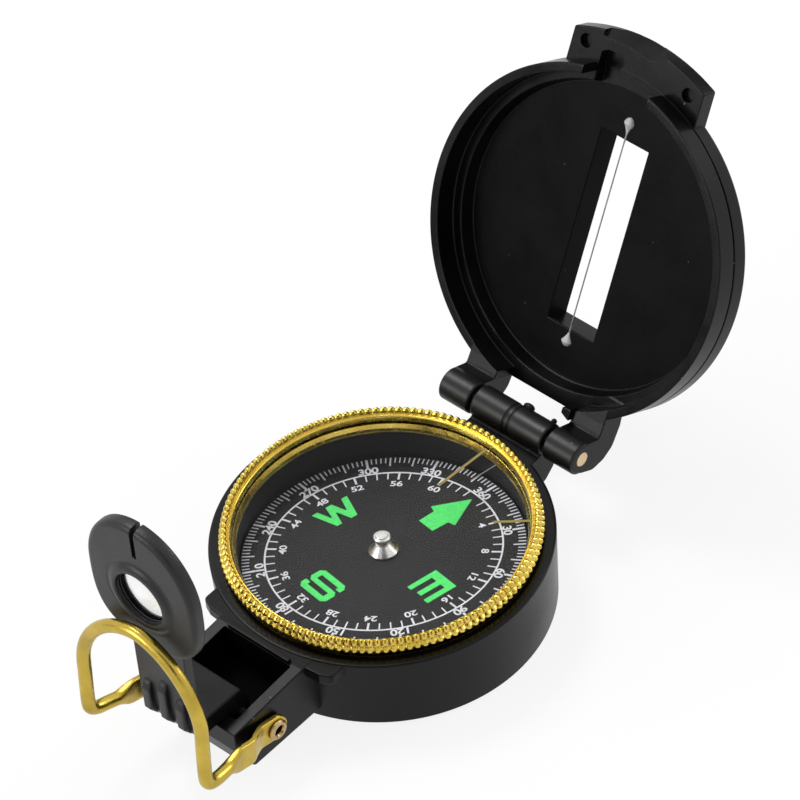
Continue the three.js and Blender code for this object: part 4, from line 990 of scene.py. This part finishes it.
grip_side = rounded(
    [(-48.0, 13.3), (-48.0, 36.2), (-50.3, 36.2), (-49.9, 33.5), (-49.9, 17.5), (-49.2, 14.1), (-48.7, 13.3)],
    [0.2, 0, 0, 0.5, 2.0, 0.5, 0.2])
foot_side = rounded(
    [(-37.6, 11.6), (-37.6, 13.5), (-39.3, 16.7), (-48.4, 16.7), (-48.4, 13.3), (-42.0, 13.3), (-42.0, 11.6),
     (-41.2, 9.75), (-39.8, 9.3), (-38.4, 9.75)],
    [0.5, 0.5, 0.4, 0, 0.2, 0.2, 0.8, 1.0, 1.2, 1.0])
bracket_part("bracket_grip", [slab(grip_side, -GRIP_HALF, GRIP_HALF, "x", 0.25)])
bracket_part("bracket_foot", [slab(foot_side, -GRIP_HALF, GRIP_HALF, "x", 0.25)], case_black)
for k, label, top in ((-1, "left", 22.1), (0, "middle", 23.9), (1, "right", 22.1)):
    rib_side = rounded(
        [(-49.4, top + 0.3), (-50.35, top - 0.4), (-50.8, top - 1.6), (-50.8, 16.1), (-49.4, 14.2)],
        [0, 0.5, 0.8, 0.6, 0])
    bracket_part("bracket_rib_" + label,
                 [slab(rib_side, RIB_PITCH * k - RIB_HALF, RIB_PITCH * k + RIB_HALF, "x", 0.35)])

# ------------------------------------------------------------------ lens
# A small magnifier glass, slightly domed, sits in the seat behind a thin
# black retaining ring.
LENS_R, LENS_EDGE, LENS_BULGE, LENS_Y, RETAINER_Y = 6.6, 0.25, 0.22, -50.5, -51.2
LENS_HANDLED, LENS_IOR = 260.0, 1.49
lens_glass, lens_tree, lens_shader = new_finish("lens_glass")
handled = noise(lens_tree, wire(lens_tree, "TexCoord").outputs["Object"], LENS_HANDLED, 3.0)
feed(lens_tree, lens_shader, {"Base Color": (0.95, 0.96, 0.96, 1), "Transmission Weight": 1.0, "IOR": LENS_IOR,
                              "Roughness": spread(lens_tree, handled, 0.35, 0.75, 0.05, 0.16)})
dome = np.linspace(0, 1, 12)
lens_face = np.stack([LENS_R * dome, LENS_EDGE + LENS_BULGE * (1 - dome ** 2)], 1)
lens_profile = np.concatenate([lens_face * [1, -1], lens_face[::-1]])
bracket_part("lens_magnifier", [turned(lens_profile, 96, "y", (0, LENS_Y, LENS_Z))], lens_glass,
             "lens")
ring_profile = rounded(box_outline(HOLE_R - 0.1, LENS_R, 0, 0.28), [0.08, 0.05, 0.05, 0.12])
bracket_part("lens_retainer", [turned(ring_profile, 128, "y", (0, RETAINER_Y, LENS_Z))], node="lens_ring")

# ------------------------------------------------------------------ thumb loop
# The loop is one gold-plated steel wire. Its ends are pressed flat, joggled
# outwards off the cheeks and riveted; the middle is bent up into an arch.
WIRE_R, STRAP_THICK, STRAP_TALL, STRAP_X = 1.15, 1.1, 4.6, 9.95
STRAP_LONG, STRAP_FADE, NOSE_LONG = 12.2, 3.6, 2.3
LOOP_HALF, LOOP_SPRING, LOOP_RISE, LOOP_SQUARE = 12.6, 25.1, 13.4, 1.8
LOOP_FOOT, LOOP_LEAN = (-55.4, 11), 0.065


def loop_lean(z):
    """The arch leans: its depth grows slowly with height."""
    return LOOP_FOOT[0] + LOOP_LEAN * (z - LOOP_FOOT[1])


arch = np.radians([12, 24, 36, 48, 60, 72, 82])
arch_x, arch_z = superellipse(arch, LOOP_SQUARE)
arch_z = LOOP_SPRING + LOOP_RISE * arch_z
loop_half = np.concatenate([
    [(STRAP_X, -34.9, 8.35), (STRAP_X, -36.0, 8.5), (STRAP_X, -38.0, 8.85), (STRAP_X, -40.3, 9.3),
     (STRAP_X + 0.7, -42.1, 9.7), (STRAP_X + 1.5, -43.8, 10.15), (STRAP_X + 1.65, -46.5, 10.9),
     (STRAP_X + 1.9, -49.3, 11.6), (STRAP_X + 2.3, -51.6, 12.1), (LOOP_HALF - 0.15, -53.2, 12.5),
     (LOOP_HALF, -54.3, 13.1), (LOOP_HALF, -54.9, 14.0), (LOOP_HALF, -55.05, 15.2)],
    [(LOOP_HALF, loop_lean(z), z) for z in (18.5, 22, LOOP_SPRING)],
    np.stack([LOOP_HALF * arch_x, loop_lean(arch_z), arch_z], 1)])
crest = LOOP_SPRING + LOOP_RISE
loop_points = np.concatenate([loop_half * [-1, 1, 1], [(0, loop_lean(crest), crest)], loop_half[::-1]])


def smooth_path(points, per_span):
    """A Catmull-Rom curve through the points: each span is a cubic set by its own and its neighbours' ends."""
    p = np.concatenate([[2 * points[0] - points[1]], points, [2 * points[-1] - points[-2]]])
    k = (np.arange(per_span) / per_span)[None, :, None]
    a, b, c, d = (p[i:len(p) - 3 + i][:, None] for i in range(4))
    run = 0.5 * (2 * b + (c - a) * k + (2 * a - 5 * b + 4 * c - d) * k ** 2 + (3 * b - a - 3 * c + d) * k ** 3)
    return np.concatenate([run.reshape(-1, points.shape[1]), points[-1:]])


def swept(path, half_across, half_tall, squareness, across_start, ring_steps=28):
    """A tube along a path: superellipse rings of changing size in frames carried along without twist."""
    tangent = unit(np.gradient(path, axis=0))
    across = np.empty_like(path)
    side = np.asarray(across_start, float)
    for i, step in enumerate(tangent):
        side = side - step * (side @ step)
        side /= np.linalg.norm(side)
        across[i] = side
    tall = np.cross(tangent, across)
    u, v = superellipse(round_angles(ring_steps)[None], squareness[:, None])
    return ring_shell(path[:, None] + across[:, None] * (u * half_across[:, None])[..., None]
                      + tall[:, None] * (v * half_tall[:, None])[..., None])


loop_path = smooth_path(loop_points, 8)
run = np.concatenate([[0], np.cumsum(np.linalg.norm(np.diff(loop_path, axis=0), axis=1))])
from_end = np.minimum(run, run[-1] - run)
flat_share = 1 - np.clip((from_end - STRAP_LONG) / STRAP_FADE, 0, 1)
flat_share = flat_share * flat_share * (3 - 2 * flat_share)
nose = np.sqrt(np.clip(1 - (1 - np.clip(from_end / NOSE_LONG, 0, 1)) ** 2, 0, 1))
loop_tall = (WIRE_R + (STRAP_TALL / 2 - WIRE_R) * flat_share) * np.maximum(nose, 0.02)
loop_across = WIRE_R + (STRAP_THICK / 2 - WIRE_R) * flat_share
gold_wire = metal("gold_wire", (0.58, 0.425, 0.075), (0.42, 0.295, 0.045), 0.30, marks=0.04, relief=0.000001)
add_piece("thumb_loop_wire", [swept(loop_path, loop_across, loop_tall, 2 + 4 * flat_share, (1, 0, 0))],
          gold_wire, "loop", ["thumb_loop"])

# ------------------------------------------------------------------ rivets
# Each strap turns on a tubular brass rivet with a rolled-over lip and a
# small bore, which holds a dark plug of painted shade.
RIVET_Y, RIVET_Z, RIVET_IN, RIVET_BORE = -37.2, 8.7, 7.6, 0.9
STRAP_FACE = STRAP_X + STRAP_THICK / 2
rivet_brass = metal("rivet_brass", (0.52, 0.38, 0.18), (0.36, 0.25, 0.11), 0.30)
lip = rounded(
    [(RIVET_BORE, RIVET_IN), (RIVET_BORE, STRAP_FACE + 0.05), (1.8, STRAP_FACE + 0.05),
     (1.85, STRAP_FACE + 0.35), (1.45, STRAP_FACE + 0.75), (1.1, STRAP_FACE + 0.7),
     (RIVET_BORE, STRAP_FACE + 0.3), (0.86, STRAP_FACE - 2.0), (0, STRAP_FACE - 2.0), (0, RIVET_IN)],
    [0, 0, 0.1, 0.2, 0.25, 0.2, 0.1, 0, 0, 0])
for side, side_name in ((-1, "left"), (1, "right")):
    bore, head = ((points * [side, 1, 1] + [0, RIVET_Y, RIVET_Z], *faces) for points, *faces in (
        rod(RIVET_BORE - 0.03, STRAP_FACE - 1.0, STRAP_FACE + 0.12, 40, "x"), turned(lip, 64, "x")))
    # The bore is filled with a dark plug in the painted-shade finish: painted shade in the hole.
    add_piece("loop_rivet_shade_plug_" + side_name, [bore], recess_painted_shade, "case")
    add_piece("loop_rivet_head_" + side_name, [head], rivet_brass, "case",
              ["loop_rivet_" + side_name])

# ------------------------------------------------------------------ hidden works
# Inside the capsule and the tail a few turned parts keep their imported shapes:
# jewel, magnet, pivot post, retaining ring and the bracket's pin.
pin_dark = metal("pin_dark", (0.055, 0.055, 0.058), (0.035, 0.035, 0.037), 0.42)
magnet_grey = metal("magnet_grey", (0.35, 0.36, 0.38), (0.28, 0.28, 0.30), 0.4)
for node_name, finish in (("jewel_bearing", lens_glass), ("card_magnet", magnet_grey),
                          ("pivot_post", steel_bright), ("bezel_retaining_ring", steel_bright),
                          ("bracket_pin", pin_dark)):
    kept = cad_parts[node_name]
    kept.data.materials.clear()
    kept.data.materials.append(finish)
